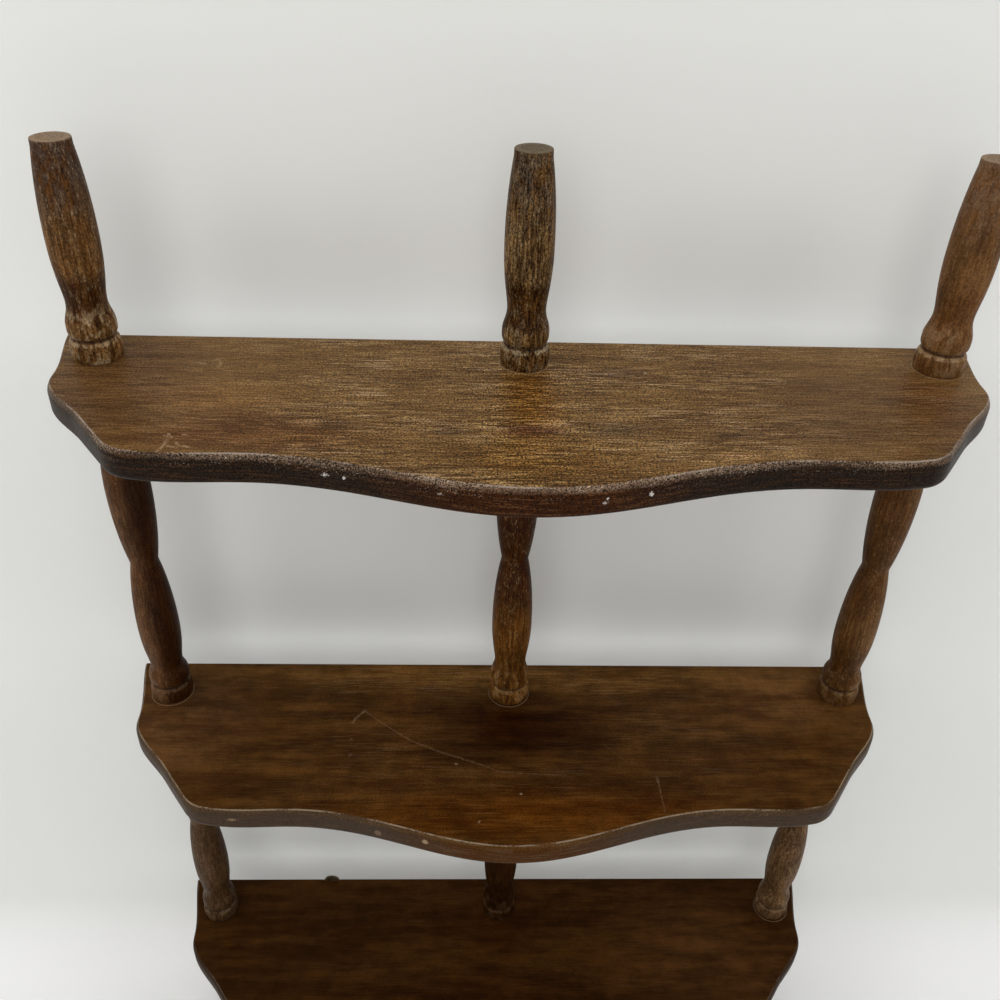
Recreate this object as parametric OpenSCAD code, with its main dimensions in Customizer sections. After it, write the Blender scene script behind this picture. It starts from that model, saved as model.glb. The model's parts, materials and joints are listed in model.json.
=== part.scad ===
// Spindle wall shelf: three bow-fronted shelves carried on turned spindles, with a
// half spindle standing at each end of every line. Steel screws pointed at both
// ends pass through the shelves and draw the spindles tight. The shelf hangs by two
// eye plates let into the rear edge of the top shelf, and a third eye steadies it below.
// Origin: on the wall, midway between the two hanging eyes.
// +X to the right, +Y into the wall, +Z up. Millimetres.

/* [Shelves] */
// Overall width of a shelf, at its rear corners
shelf_w = 514; // [500:1:620]
// Thickness of a shelf
shelf_t = 16; // [14:0.5:22]
// Clear height between two shelves, which is the length of a full spindle
bay_h = 236; // [200:1:300]
// Depth of a shelf at its straight front, rear edge to front edge
end_depth = 127; // [115:0.5:150]
// How far the bow stands out in front of the straight front
bow_out = 26; // [12:0.2:34]
// Width of the bow where it runs out into the straight front
bow_w = 264; // [230:1:290]
// How far each end draws in between the rear corner and the shoulder
end_waist = 9; // [4:0.2:12]
// Distance of the shoulder from the rear edge
shoulder_y = 51; // [44:0.5:56]
// How far the middle of the slanting end lies in from the side
slant_in = 36; // [32:0.5:40]
// Distance of the middle of the slanting end from the rear edge
slant_y = 92.5; // [86:0.5:98]
// How far the front corner lies in from the side
corner_in = 59.5; // [54:0.5:64]
// How much shallower a shelf is at its front corner than where the bow begins
corner_back = 3.8; // [1:0.2:8]
// Length of the slanting end's side of the rounded front corner
corner_run_in = 8; // [3:0.5:11]
// Length of the straight front's side of the rounded front corner
corner_run_out = 7.5; // [3:0.5:12]
// Direction of the slanting end where it meets the front corner, in degrees
slant_heading = -128; // [-134:1:-118]
// Direction of the straight front where it leaves the front corner, in degrees
front_heading = -166; // [-175:1:-160]
// How far the upper edge is eased back
top_ease = 1.8; // [1:0.1:4]
// Height over which the upper edge is eased
top_ease_h = 5; // [2:0.5:8]
// How far the lower edge is eased back
under_ease = 1.2; // [0.4:0.1:3]
// Height over which the lower edge is eased
under_ease_h = 3; // [1:0.5:6]

/* [Spindles] */
// Distance of an end spindle from the rear corner of a shelf, along the edge
spindle_inset = 27; // [22:0.5:34]
// Distance of the line of spindles from the rear edge
spindle_y = 26.5; // [20:0.5:34]
// Diameter of the collar at its fullest
collar_d = 26.8; // [24:0.1:29]
// Height of the collar
collar_h = 12; // [9:0.2:13]
// How much wider the collar is at its fullest than at its ends
collar_swell = 0.9; // [0.3:0.1:1.2]
// Break of the collar's edge on its seat
collar_break = 0.6; // [0.2:0.1:1]
// Height over which the collar starts to round over into the groove
collar_round = 2; // [0.6:0.1:3]
// Height from the collar up to the groove's bottom
groove_rise = 0.9; // [0.6:0.1:1.2]
// Height of the groove's bottom
groove_h = 0.4; // [0.2:0.1:0.8]
// Diameter at the bottom of the groove above the collar
groove_d = 22.4; // [19:0.1:23]
// Diameter of the bead
bead_d = 25.6; // [24:0.1:28]
// Height of the bead's fullest point above the seat
bead_h = 19.6; // [18:0.2:21]
// Diameter of the neck above the bead
neck_d = 20.7; // [18:0.1:22.4]
// Height of the neck above the seat
neck_h = 31.7; // [29:0.1:36]
// Diameter of the swelling between the neck and the waist
vase_d = 25.9; // [24:0.1:30]
// Height of the fullest point of the swelling above the seat
vase_h = 65; // [58:0.5:76]
// Diameter of the sharp waist at mid-length
waist_d = 16.6; // [14:0.1:19]
// How far the turning of an upper end spindle sits below the middle of its length
low_turning = 5; // [0:0.5:8]
// How far short of its waist a half spindle is cut off
cut_loss = 4; // [1:0.2:8]
// Break of the rim where a half spindle is cut off
rim = 0.6; // [0.2:0.1:1.2]

/* [Joining screws] */
// Diameter of a joining screw
screw_d = 6; // [4.5:0.1:7]
// How far a joining screw runs into each spindle
screw_reach = 20; // [14:0.5:28]
// Length of each point of a joining screw
screw_point = 5; // [3:0.5:8]
// Diameter of the tip of each point
screw_tip_d = 1; // [0.6:0.1:2]
// Radial play of a joining screw in its pilot hole
pilot_play = 0.1; // [0.05:0.05:0.2]
// Radial play of a joining screw in the shelf
shelf_play = 0.3; // [0.1:0.05:0.5]
// How much deeper a pilot hole is than its screw reaches
pilot_spare = 2; // [1:0.5:4]

/* [Hanging hardware] */
// Distance of each eye from the end spindle, towards the middle
eye_inset = 88; // [60:1:110]
// Width of an eye plate, which is also the diameter of its round end
plate_w = 13; // [12:0.2:13.4]
// Length of an eye plate over its round end
plate_l = 18.4; // [17.6:0.2:20]
// Thickness of an eye plate
plate_t = 1.5; // [1:0.1:2]
// Diameter of the hole in the eye
eye_d = 5; // [4:0.1:6]
// Distance of the eye's centre below the centre of the plate's round end
eye_drop = 3.5; // [2.5:0.1:4]
// How far the steadying plate's round end stands up over the bottom shelf
plate_rise = 5.5; // [4:0.1:6]
// Play round a plate in its recess
plate_play = 0.2; // [0.1:0.05:0.3]
// Diameter of the pocket drilled behind an eye
pocket_d = 7; // [6:0.1:8]
// Depth of the pocket from the rear edge
pocket_depth = 7; // [4:0.5:10]
// Diameter of a plate nail
nail_d = 1.8; // [1.4:0.1:2]
// Diameter of a plate nail's sunk head
nail_head_d = 3.6; // [3:0.1:4]
// Length of a plate nail
nail_l = 16; // [10:0.5:18]
// Distance of a plate's two nails below the centre of the eye
nail_drop = 5.2; // [4.8:0.1:5.6]
// Distance of each nail from the middle of the plate
nail_aside = 3.2; // [2.6:0.1:3.6]
// Radial play round a nail
nail_play = 0.1; // [0.05:0.05:0.15]
// How much deeper a nail hole is than its nail reaches
nail_spare = 1; // [0.5:0.5:2]

/* [Hidden] */
$fn = 48;

LEFT = -1;
CENTRE = 0;
RIGHT = 1;
SIDES = [LEFT, CENTRE, RIGHT];
TOP = 0;
MIDDLE = 1;
BOTTOM = 2;
SHELVES = [TOP, MIDDLE, BOTTOM];

wood_light = [0.36, 0.23, 0.12];
wood_mid = [0.31, 0.19, 0.10];
wood_dark = [0.25, 0.14, 0.08];
steel = [0.55, 0.55, 0.53];
brass = [0.45, 0.40, 0.28];

shelf_pitch = bay_h + shelf_t;
spindle_gap = shelf_w / 2 - spindle_inset;
eye_x = spindle_gap - eye_inset;
waist_h = bay_h / 2;
finial_h = waist_h - cut_loss;
screw_l = 2 * screw_reach + shelf_t;
nail_head_h = (nail_head_d - nail_d) / 2;
over = 1;  // how far a cutter runs past the face it opens

// Underside, middle and upper face of a shelf, counted down from the top one
function shelf_mid(level) = -level * shelf_pitch;
function shelf_top(level) = shelf_mid(level) + shelf_t / 2;
function shelf_under(level) = shelf_mid(level) - shelf_t / 2;

// A smooth run between two stations, each [x, y, heading]. A pull is the share of
// the straight distance for which the run still follows a station's heading. The
// last point is left to the next run.
function ahead(station, distance) =
    [station[0], station[1]] + distance * [cos(station[2]), sin(station[2])];
function run(from, to, steps, pull_from = 1/3, pull_to = 1/3) =
    let (
        span = norm([to[0] - from[0], to[1] - from[1]]),
        a = ahead(from, 0),
        b = ahead(from, pull_from * span),
        c = ahead(to, -pull_to * span),
        d = ahead(to, 0)
    )
    [for (i = [0:steps - 1]) let (t = i / steps, u = 1 - t)
        u * u * u * a + 3 * u * u * t * b + 3 * u * t * t * c + t * t * t * d];

// Right half of a shelf's outline, from the rear corner round to the middle of the bow
corner = [shelf_w / 2 - corner_in, corner_back - end_depth];
rear_station = [shelf_w / 2, 0, -98];
shoulder_station = [shelf_w / 2 - end_waist, -shoulder_y, -90];
slant_station = [shelf_w / 2 - slant_in, -slant_y, -127];
corner_start = [each ahead([each corner, slant_heading], -corner_run_in), slant_heading];
corner_end = [each ahead([each corner, front_heading], corner_run_out), front_heading];
straight_station = [bow_w / 2, -end_depth, -178];
bow_station = [0, -end_depth - bow_out, -180];
half_outline = concat(
    run(rear_station, shoulder_station, 6),
    run(shoulder_station, slant_station, 10),
    run(slant_station, corner_start, 3),
    run(corner_start, corner_end, 7),
    run(corner_end, straight_station, 4),
    run(straight_station, bow_station, 14, 0.39, 0.35)
);
outline = concat(
    half_outline,
    [[bow_station[0], bow_station[1]]],
    [for (i = [len(half_outline) - 1:-1:0]) [-half_outline[i][0], half_outline[i][1]]]
);
last = len(outline) - 1;

// The outline drawn in by a distance along its normals. The rear edge stays on the
// wall, so a rear corner only moves along it.
function unit(v) = v / norm(v);
function outward(i) = let (d = unit(outline[i + 1] - outline[i])) [-d[1], d[0]];
function drawn_in(i, distance) =
    i == 0 ? outline[0] - [distance / outward(0)[0], 0] :
    i == last ? outline[last] - [distance / outward(last - 1)[0], 0] :
    let (m = outward(i - 1) + outward(i)) outline[i] - distance * 2 / (m * m) * m;

// Levels of a shelf's edge, each [distance drawn in, height above the underside]. Both
// easings leave the upright face smoothly and meet the flat faces at a crisp arris.
ease_steps = 4;
edge_levels = concat(
    [for (i = [ease_steps:-1:0]) let (t = i / ease_steps)
        [under_ease * t * t, under_ease_h * (1 - t)]],
    [for (i = [0:ease_steps]) let (t = i / ease_steps)
        [top_ease * t * t, shelf_t - top_ease_h * (1 - t)]]
);

// A plain shelf with its underside at height zero and its rear edge on the wall
module shelf_board() {
    n = len(outline);
    levels = len(edge_levels);
    points = [for (level = edge_levels) for (i = [0:last])
        [each drawn_in(i, level[0]), level[1]]];
    sides = [for (k = [0:levels - 2]) for (i = [0:last]) let (j = (i + 1) % n)
        [k * n + i, (k + 1) * n + i, (k + 1) * n + j, k * n + j]];
    bottom = [[for (i = [last:-1:0]) i]];
    top = [[for (i = [0:last]) (levels - 1) * n + i]];
    polyhedron(points, concat(bottom, sides, top));
}

// Turned outline of half a spindle as [radius, height], from its seat up to the waist.
// A drop brings the neck, the swelling and the waist nearer to the seat.
collar_end_d = collar_d - collar_swell;
collar_foot = [collar_end_d / 2, collar_break, 75];
collar_brow = [collar_end_d / 2, collar_h - collar_round, 105];
groove_station = [groove_d / 2, collar_h + groove_rise, 90];
bead_foot = [groove_d / 2, collar_h + groove_rise + groove_h, 18];
bead_station = [bead_d / 2, bead_h, 90];
function half_profile(drop = 0) = let (
    neck_station = [neck_d / 2, neck_h - 0.6 * drop, 90],
    vase_station = [vase_d / 2, vase_h - drop, 90],
    waist_station = [waist_d / 2, waist_h - drop, 101]
) concat(
    [[collar_end_d / 2 - collar_break, 0]],
    run(collar_foot, collar_brow, 6),
    run(collar_brow, groove_station, 5),
    run(groove_station, bead_foot, 2),
    run(bead_foot, bead_station, 8, 0.3, 0.42),
    run(bead_station, neck_station, 8, 0.3, 0.4),
    run(neck_station, vase_station, 10, 0.2, 0.57),
    run(vase_station, waist_station, 10, 0.3, 0.36)
);

module pilot_hole() {
    translate([0, 0, -over])
        cylinder(d = screw_d + 2 * pilot_play, h = screw_reach + pilot_spare + over);
}

// A full spindle standing on height zero: the lower half, then the upper one mirrored
module spindle(drop = 0) {
    lower = half_profile(drop);
    above = half_profile(-drop);
    upper = [for (i = [len(above) - 1:-1:0]) [above[i][0], bay_h - above[i][1]]];
    difference() {
        rotate_extrude()
            polygon(concat([[0, 0]], lower, [[waist_d / 2, waist_h - drop]], upper, [[0, bay_h]]));
        pilot_hole();
        translate([0, 0, bay_h]) mirror([0, 0, 1]) pilot_hole();
    }
}

// Half a spindle cut off square just short of its waist, with the rim broken
module finial() {
    whole = half_profile();
    rim_r = lookup(finial_h - rim, [for (p = whole) [p[1], p[0]]]);
    difference() {
        rotate_extrude()
            polygon(concat([[0, 0]], [for (p = whole) if (p[1] < finial_h - 2 * rim) p],
                [[rim_r, finial_h - rim], [rim_r - rim, finial_h], [0, finial_h]]));
        pilot_hole();
    }
}

// An eye plate with its outer face on the wall, the eye at the origin and the square
// end straight below it. The play widens it all round to cut its recess.
module plate_outline(play) {
    below = plate_l - plate_w / 2 - eye_drop + play;
    translate([0, eye_drop]) circle(d = plate_w + 2 * play);
    translate([-plate_w / 2 - play, -below]) square([plate_w + 2 * play, below + eye_drop]);
}

module at_nails() {
    for (side = [LEFT, RIGHT])
        translate([side * nail_aside, 0, -nail_drop]) rotate([90, 0, 0]) children();
}

module eye_plate() {
    sunk_d = nail_head_d + 2 * nail_play;
    hole_d = nail_d + 2 * nail_play;
    difference() {
        rotate([90, 0, 0]) linear_extrude(plate_t) plate_outline(0);
        translate([0, over, 0]) rotate([90, 0, 0]) cylinder(d = eye_d, h = plate_t + 2 * over);
        at_nails() {
            translate([0, 0, -over]) cylinder(d = hole_d, h = plate_t + 2 * over);
            cylinder(d1 = sunk_d, d2 = hole_d, h = nail_head_h);
        }
    }
}

module nails() {
    at_nails() rotate_extrude() polygon([
        [0, 0], [nail_head_d / 2, 0], [nail_d / 2, nail_head_h],
        [nail_d / 2, nail_l - 1.5 * nail_d], [0, nail_l],
    ]);
}

// What a plate needs cut in the shelf behind it: its recess, its nail holes and the
// pocket for the head of the wall nail
module plate_seat() {
    translate([0, over, 0]) rotate([90, 0, 0]) linear_extrude(plate_t + over) plate_outline(plate_play);
    translate([0, over, 0]) rotate([90, 0, 0]) cylinder(d = pocket_d, h = pocket_depth + over);
    at_nails() cylinder(d = nail_d + 2 * nail_play, h = nail_l + nail_spare);
}

// Places for the plates: the hanging pair lies along the rear edge of the top shelf with
// the square ends towards the middle, and the steadying one stands on the bottom shelf
module at_hanging_eye(side) {
    translate([side * eye_x, 0, shelf_mid(TOP)]) rotate([0, side * 90, 0]) children();
}

module at_steadying_eye() {
    translate([-eye_x, 0, shelf_top(BOTTOM) + plate_rise - plate_w / 2 - eye_drop]) children();
}

module at_spindle(side, height) {
    translate([side * spindle_gap, -spindle_y, height]) children();
}

// A shelf at its level, drilled for the joining screws
module shelf(level) {
    difference() {
        translate([0, 0, shelf_under(level)]) shelf_board();
        for (side = SIDES) at_spindle(side, shelf_under(level) - over)
            cylinder(d = screw_d + 2 * shelf_play, h = shelf_t + 2 * over);
        if (level == TOP) for (side = [LEFT, RIGHT]) at_hanging_eye(side) plate_seat();
        if (level == BOTTOM) at_steadying_eye() plate_seat();
    }
}

module joining_screw() {
    tip = screw_tip_d / 2;
    rotate_extrude() polygon([
        [0, 0], [tip, 0], [screw_d / 2, screw_point],
        [screw_d / 2, screw_l - screw_point], [tip, screw_l], [0, screw_l],
    ]);
}

module top_shelf() { color(wood_light) shelf(TOP); }
module middle_shelf() { color(wood_mid) shelf(MIDDLE); }
module bottom_shelf() { color(wood_dark) shelf(BOTTOM); }

module upper_spindle(side) {
    color(wood_mid) at_spindle(side, shelf_top(MIDDLE)) spindle(abs(side) * low_turning);
}
module lower_spindle(side) { color(wood_dark) at_spindle(side, shelf_top(BOTTOM)) spindle(); }
module top_finial(side) { color(wood_mid) at_spindle(side, shelf_top(TOP)) finial(); }
module bottom_finial(side) {
    color(wood_dark) at_spindle(side, shelf_under(BOTTOM)) mirror([0, 0, 1]) finial();
}

module upper_left_spindle() { upper_spindle(LEFT); }
module upper_centre_spindle() { upper_spindle(CENTRE); }
module upper_right_spindle() { upper_spindle(RIGHT); }
module lower_left_spindle() { lower_spindle(LEFT); }
module lower_centre_spindle() { lower_spindle(CENTRE); }
module lower_right_spindle() { lower_spindle(RIGHT); }
module top_left_finial() { top_finial(LEFT); }
module top_centre_finial() { top_finial(CENTRE); }
module top_right_finial() { top_finial(RIGHT); }
module bottom_left_finial() { bottom_finial(LEFT); }
module bottom_centre_finial() { bottom_finial(CENTRE); }
module bottom_right_finial() { bottom_finial(RIGHT); }

module left_eye_plate() { color(brass) at_hanging_eye(LEFT) eye_plate(); }
module right_eye_plate() { color(brass) at_hanging_eye(RIGHT) eye_plate(); }
module lower_eye_plate() { color(brass) at_steadying_eye() eye_plate(); }

module joining_screws() {
    color(steel) for (level = SHELVES) for (side = SIDES)
        at_spindle(side, shelf_mid(level) - screw_l / 2) joining_screw();
}

module eye_plate_nails() {
    color(steel) {
        for (side = [LEFT, RIGHT]) at_hanging_eye(side) nails();
        at_steadying_eye() nails();
    }
}

top_shelf();
middle_shelf();
bottom_shelf();
upper_left_spindle();
upper_centre_spindle();
upper_right_spindle();
lower_left_spindle();
lower_centre_spindle();
lower_right_spindle();
top_left_finial();
top_centre_finial();
top_right_finial();
bottom_left_finial();
bottom_centre_finial();
bottom_right_finial();
left_eye_plate();
right_eye_plate();
lower_eye_plate();
joining_screws();
eye_plate_nails();
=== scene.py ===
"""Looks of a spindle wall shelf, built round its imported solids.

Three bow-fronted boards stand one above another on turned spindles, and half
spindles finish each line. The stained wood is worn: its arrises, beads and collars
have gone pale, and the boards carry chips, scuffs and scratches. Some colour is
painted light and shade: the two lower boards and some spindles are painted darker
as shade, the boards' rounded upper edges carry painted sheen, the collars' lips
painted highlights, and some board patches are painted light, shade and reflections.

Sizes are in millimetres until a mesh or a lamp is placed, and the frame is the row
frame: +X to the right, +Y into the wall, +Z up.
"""

import json
import logging
import math
from collections.abc import Callable, Iterator, Sequence
from contextlib import contextmanager
from dataclasses import dataclass, field, replace
from enum import Enum

import bmesh
import bpy
from mathutils import Matrix, Vector

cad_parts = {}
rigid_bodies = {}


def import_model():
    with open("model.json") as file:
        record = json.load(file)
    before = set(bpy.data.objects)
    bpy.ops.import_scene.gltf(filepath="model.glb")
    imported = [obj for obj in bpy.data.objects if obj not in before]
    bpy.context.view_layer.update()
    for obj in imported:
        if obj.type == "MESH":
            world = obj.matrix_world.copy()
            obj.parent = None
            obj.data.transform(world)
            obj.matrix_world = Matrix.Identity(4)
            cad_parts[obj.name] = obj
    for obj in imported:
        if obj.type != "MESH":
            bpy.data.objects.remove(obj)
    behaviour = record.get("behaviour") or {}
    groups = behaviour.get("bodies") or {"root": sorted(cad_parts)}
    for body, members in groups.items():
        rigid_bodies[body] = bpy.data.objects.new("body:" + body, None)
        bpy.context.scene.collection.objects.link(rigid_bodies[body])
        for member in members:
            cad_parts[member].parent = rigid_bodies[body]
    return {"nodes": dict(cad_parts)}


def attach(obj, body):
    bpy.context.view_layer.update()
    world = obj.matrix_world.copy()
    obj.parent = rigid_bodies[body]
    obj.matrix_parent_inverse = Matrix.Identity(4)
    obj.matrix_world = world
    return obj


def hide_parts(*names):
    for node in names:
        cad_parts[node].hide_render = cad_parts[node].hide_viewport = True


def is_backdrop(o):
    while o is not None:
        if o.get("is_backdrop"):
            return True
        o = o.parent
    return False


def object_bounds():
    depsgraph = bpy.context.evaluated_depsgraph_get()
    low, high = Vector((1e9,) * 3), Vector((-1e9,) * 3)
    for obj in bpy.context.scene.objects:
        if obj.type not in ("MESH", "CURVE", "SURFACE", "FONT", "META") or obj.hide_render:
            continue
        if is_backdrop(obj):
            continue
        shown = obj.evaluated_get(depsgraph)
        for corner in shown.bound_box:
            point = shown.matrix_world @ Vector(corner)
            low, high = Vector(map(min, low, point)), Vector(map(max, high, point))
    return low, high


LOG = logging.getLogger("spindle_shelf")
MM = 0.001
# Sizes that several pieces share: a board's thickness, how far the spindles stand
# from the wall, and how long they are
BOARD = 16.0
SPINDLE_IN = 26.5
SPINDLE_LONG = 236.0
Point = tuple[float, float]
Place = tuple[float, float, float]
Tint = tuple[float, float, float]


class Level(Enum):
    """The three shelves, with the height of each one's middle."""

    TOP = 0.0
    MIDDLE = -252.0
    BOTTOM = -504.0


class Side(Enum):
    """The three lines of spindles, with the place of each along the shelf."""

    LEFT = -230.0
    CENTRE = 0.0
    RIGHT = 230.0


# Drawing and modelling helpers


@dataclass(frozen=True)
class Station:
    """A point that a smooth line passes, and the direction it has there."""

    x: float
    y: float
    heading: float

    def ahead(self, distance: float) -> Point:
        """The point that lies a distance ahead in the station's direction."""
        angle = math.radians(self.heading)
        return self.x + distance * math.cos(angle), self.y + distance * math.sin(angle)


def smooth_run(
    start: Station, end: Station, steps: int, pull_start: float = 1 / 3, pull_end: float = 1 / 3
) -> list[Point]:
    """A smooth run of points between two stations.

    Args:
        start: where the run begins.
        end: where it ends.
        steps: how many points it gets.
        pull_start: share of the straight distance that keeps the first heading.
        pull_end: share of the straight distance that keeps the last heading.

    Returns:
        The points, without the last one, which belongs to the next run.
    """
    span = math.hypot(end.x - start.x, end.y - start.y)
    handles = (start.ahead(0), start.ahead(pull_start * span), end.ahead(-pull_end * span), end.ahead(0))
    points = []
    for step in range(steps):
        t = step / steps
        u = 1 - t
        shares = (u * u * u, 3 * u * u * t, 3 * u * t * t, t * t * t)
        points.append(tuple(sum(s * h[axis] for s, h in zip(shares, handles)) for axis in (0, 1)))
    return points


def joined(*runs: tuple) -> list[Point]:
    """The points of several smooth runs, one run after another."""
    return [point for run in runs for point in smooth_run(*run)]


def choose(thing: bpy.types.Object) -> None:
    """Selects one object and nothing else, and makes it the active one."""
    bpy.ops.object.select_all(action="DESELECT")
    thing.select_set(True)
    bpy.context.view_layer.objects.active = thing


@contextmanager
def editing(thing: bpy.types.Object) -> Iterator[None]:
    """Opens an object in edit mode with nothing selected, and closes it again.

    Args:
        thing: the object to work on.
    """
    choose(thing)
    bpy.ops.object.mode_set(mode="EDIT")
    bpy.ops.mesh.select_mode(type="VERT")
    bpy.ops.mesh.select_all(action="DESELECT")
    try:
        yield
    finally:
        bpy.ops.object.mode_set(mode="OBJECT")


def pick(thing: bpy.types.Object, kind: str, wanted: Callable[..., bool]) -> None:
    """Selects the edges or faces that pass a test, and nothing else.

    Args:
        thing: the object in edit mode.
        kind: EDGE or FACE.
        wanted: takes an edge's two places, or a face's centre and normal.
    """
    mesh = bmesh.from_edit_mesh(thing.data)
    bpy.ops.mesh.select_mode(type=kind)
    for part in (mesh.verts, mesh.edges, mesh.faces):
        for element in part:
            element.select = False
    if kind == "EDGE":
        found = [e for e in mesh.edges if wanted(e.verts[0].co, e.verts[1].co)]
    else:
        found = [f for f in mesh.faces if wanted(f.calc_center_median(), f.normal)]
    for element in found:
        element.select_set(True)
    bmesh.update_edit_mesh(thing.data)


def extrude(move: Sequence[float]) -> None:
    """Extrudes what is selected in edit mode by a move in metres."""
    bpy.ops.mesh.extrude_region_move(TRANSFORM_OT_translate={"value": move})


def trace(name: str, points: Sequence[Place]) -> bpy.types.Object:
    """Draws a line by extruding its last point on from place to place.

    Args:
        name: the new object's name.
        points: the places that the line joins, in millimetres.

    Returns:
        An object that holds the line, with its origin at the world's.
    """
    first = Vector(points[0]) * MM
    bpy.ops.mesh.primitive_plane_add(size=MM, location=first)
    thing = bpy.context.active_object
    thing.name = name
    with editing(thing):
        bpy.ops.mesh.select_all(action="SELECT")
        bpy.ops.mesh.merge(type="CENTER")
        for here, there in zip(points, points[1:]):
            extrude((Vector(there) - Vector(here)) * MM)
    bpy.ops.object.transform_apply(location=True, rotation=True, scale=True)
    return thing


def slab(name: str, points: Sequence[Place], move: Place) -> bpy.types.Object:
    """Traces a closed line, fills it and draws the face out.

    Args:
        name: the new object's name.
        points: the line's places, in millimetres.
        move: how far the face is drawn out and which way, in millimetres.

    Returns:
        The solid slab, with its faces turned outwards.
    """
    thing = trace(name, points)
    with editing(thing):
        bpy.ops.mesh.select_all(action="SELECT")
        bpy.ops.mesh.edge_face_add()
        bpy.ops.mesh.select_mode(type="FACE")
        bpy.ops.mesh.select_all(action="SELECT")
        extrude([m * MM for m in move])
        bpy.ops.mesh.select_all(action="SELECT")
        bpy.ops.mesh.normals_make_consistent(inside=False)
    return thing


def close_seams(thing: bpy.types.Object, apart: float = 0.002) -> None:
    """Merges doubled points and turns every face outwards.

    Args:
        thing: the object to mend.
        apart: how near two points are merged, in millimetres.
    """
    with editing(thing):
        bpy.ops.mesh.select_all(action="SELECT")
        bpy.ops.mesh.remove_doubles(threshold=apart * MM)
        bpy.ops.mesh.normals_make_consistent(inside=False)


def turned(name: str, profile: Sequence[Point], steps: int = 48) -> bpy.types.Object:
    """Spins a profile once round the Z axis, as a lathe would turn it.

    Args:
        name: the new object's name.
        profile: radius and height of each point, in millimetres.
        steps: how many sides the round has.

    Returns:
        The turned piece, closed and with its faces outwards.
    """
    thing = trace(name, [(radius, 0.0, height) for radius, height in profile])
    with editing(thing):
        bpy.ops.mesh.select_all(action="SELECT")
        bpy.ops.mesh.spin(steps=steps, angle=2 * math.pi, center=(0, 0, 0), axis=(0, 0, 1))
    close_seams(thing)
    return thing


def put(thing: bpy.types.Object, place: Place, turn: tuple[float, str] | None = None) -> None:
    """Turns and moves an object's mesh, and leaves the object at the origin.

    Args:
        thing: the object to move.
        place: how far it goes, in millimetres.
        turn: an angle in degrees and the axis it turns round, before the move.
    """
    choose(thing)
    if turn:
        thing.rotation_euler["XYZ".index(turn[1])] = math.radians(turn[0])
    thing.location = Vector(place) * MM
    bpy.ops.object.transform_apply(location=True, rotation=True, scale=True)


def rod(radius: float, length: float, place: Place, sides: int, lying: bool = True) -> bpy.types.Object:
    """A plain cylinder that a hole is cut with.

    Args:
        radius: its radius, in millimetres.
        length: its length.
        place: its middle.
        sides: how many sides it has.
        lying: whether it lies along Y, or stands.

    Returns:
        The cylinder.
    """
    bpy.ops.mesh.primitive_cylinder_add(vertices=sides, radius=radius * MM, depth=length * MM)
    thing = bpy.context.active_object
    put(thing, place, (90, "X") if lying else None)
    return thing


def copy_of(model: bpy.types.Object, name: str, place: Place) -> bpy.types.Object:
    """Copies a model and moves the copy to its place.

    Args:
        model: the object to copy.
        name: the name of the copy and of its mesh.
        place: how far the copy is moved, in millimetres.

    Returns:
        The copy, which has its own mesh.
    """
    choose(model)
    bpy.ops.object.duplicate(linked=False)
    thing = bpy.context.active_object
    thing.name = name
    thing.data.name = name
    put(thing, place)
    return thing


def cut(thing: bpy.types.Object, cutter: bpy.types.Object) -> None:
    """Takes a cutter's shape out of an object, and does away with the cutter.

    Args:
        thing: the object that is cut.
        cutter: the shape that is taken out.
    """
    choose(thing)
    bpy.ops.object.modifier_add(type="BOOLEAN")
    modifier = thing.modifiers[-1]
    modifier.operation = "DIFFERENCE"
    modifier.solver = "EXACT"
    modifier.object = cutter
    bpy.ops.object.modifier_apply(modifier=modifier.name)
    bpy.data.objects.remove(cutter, do_unlink=True)


def smooth(thing: bpy.types.Object, degrees: float) -> None:
    """Shades an object smooth, but keeps edges sharper than an angle crisp."""
    choose(thing)
    bpy.ops.object.shade_smooth_by_angle(angle=math.radians(degrees))


def coat(thing: bpy.types.Object, material: bpy.types.Material) -> None:
    """Gives an object one material, in place of any that it has."""
    thing.data.materials.clear()
    thing.data.materials.append(material)


# Shader graphs


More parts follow.
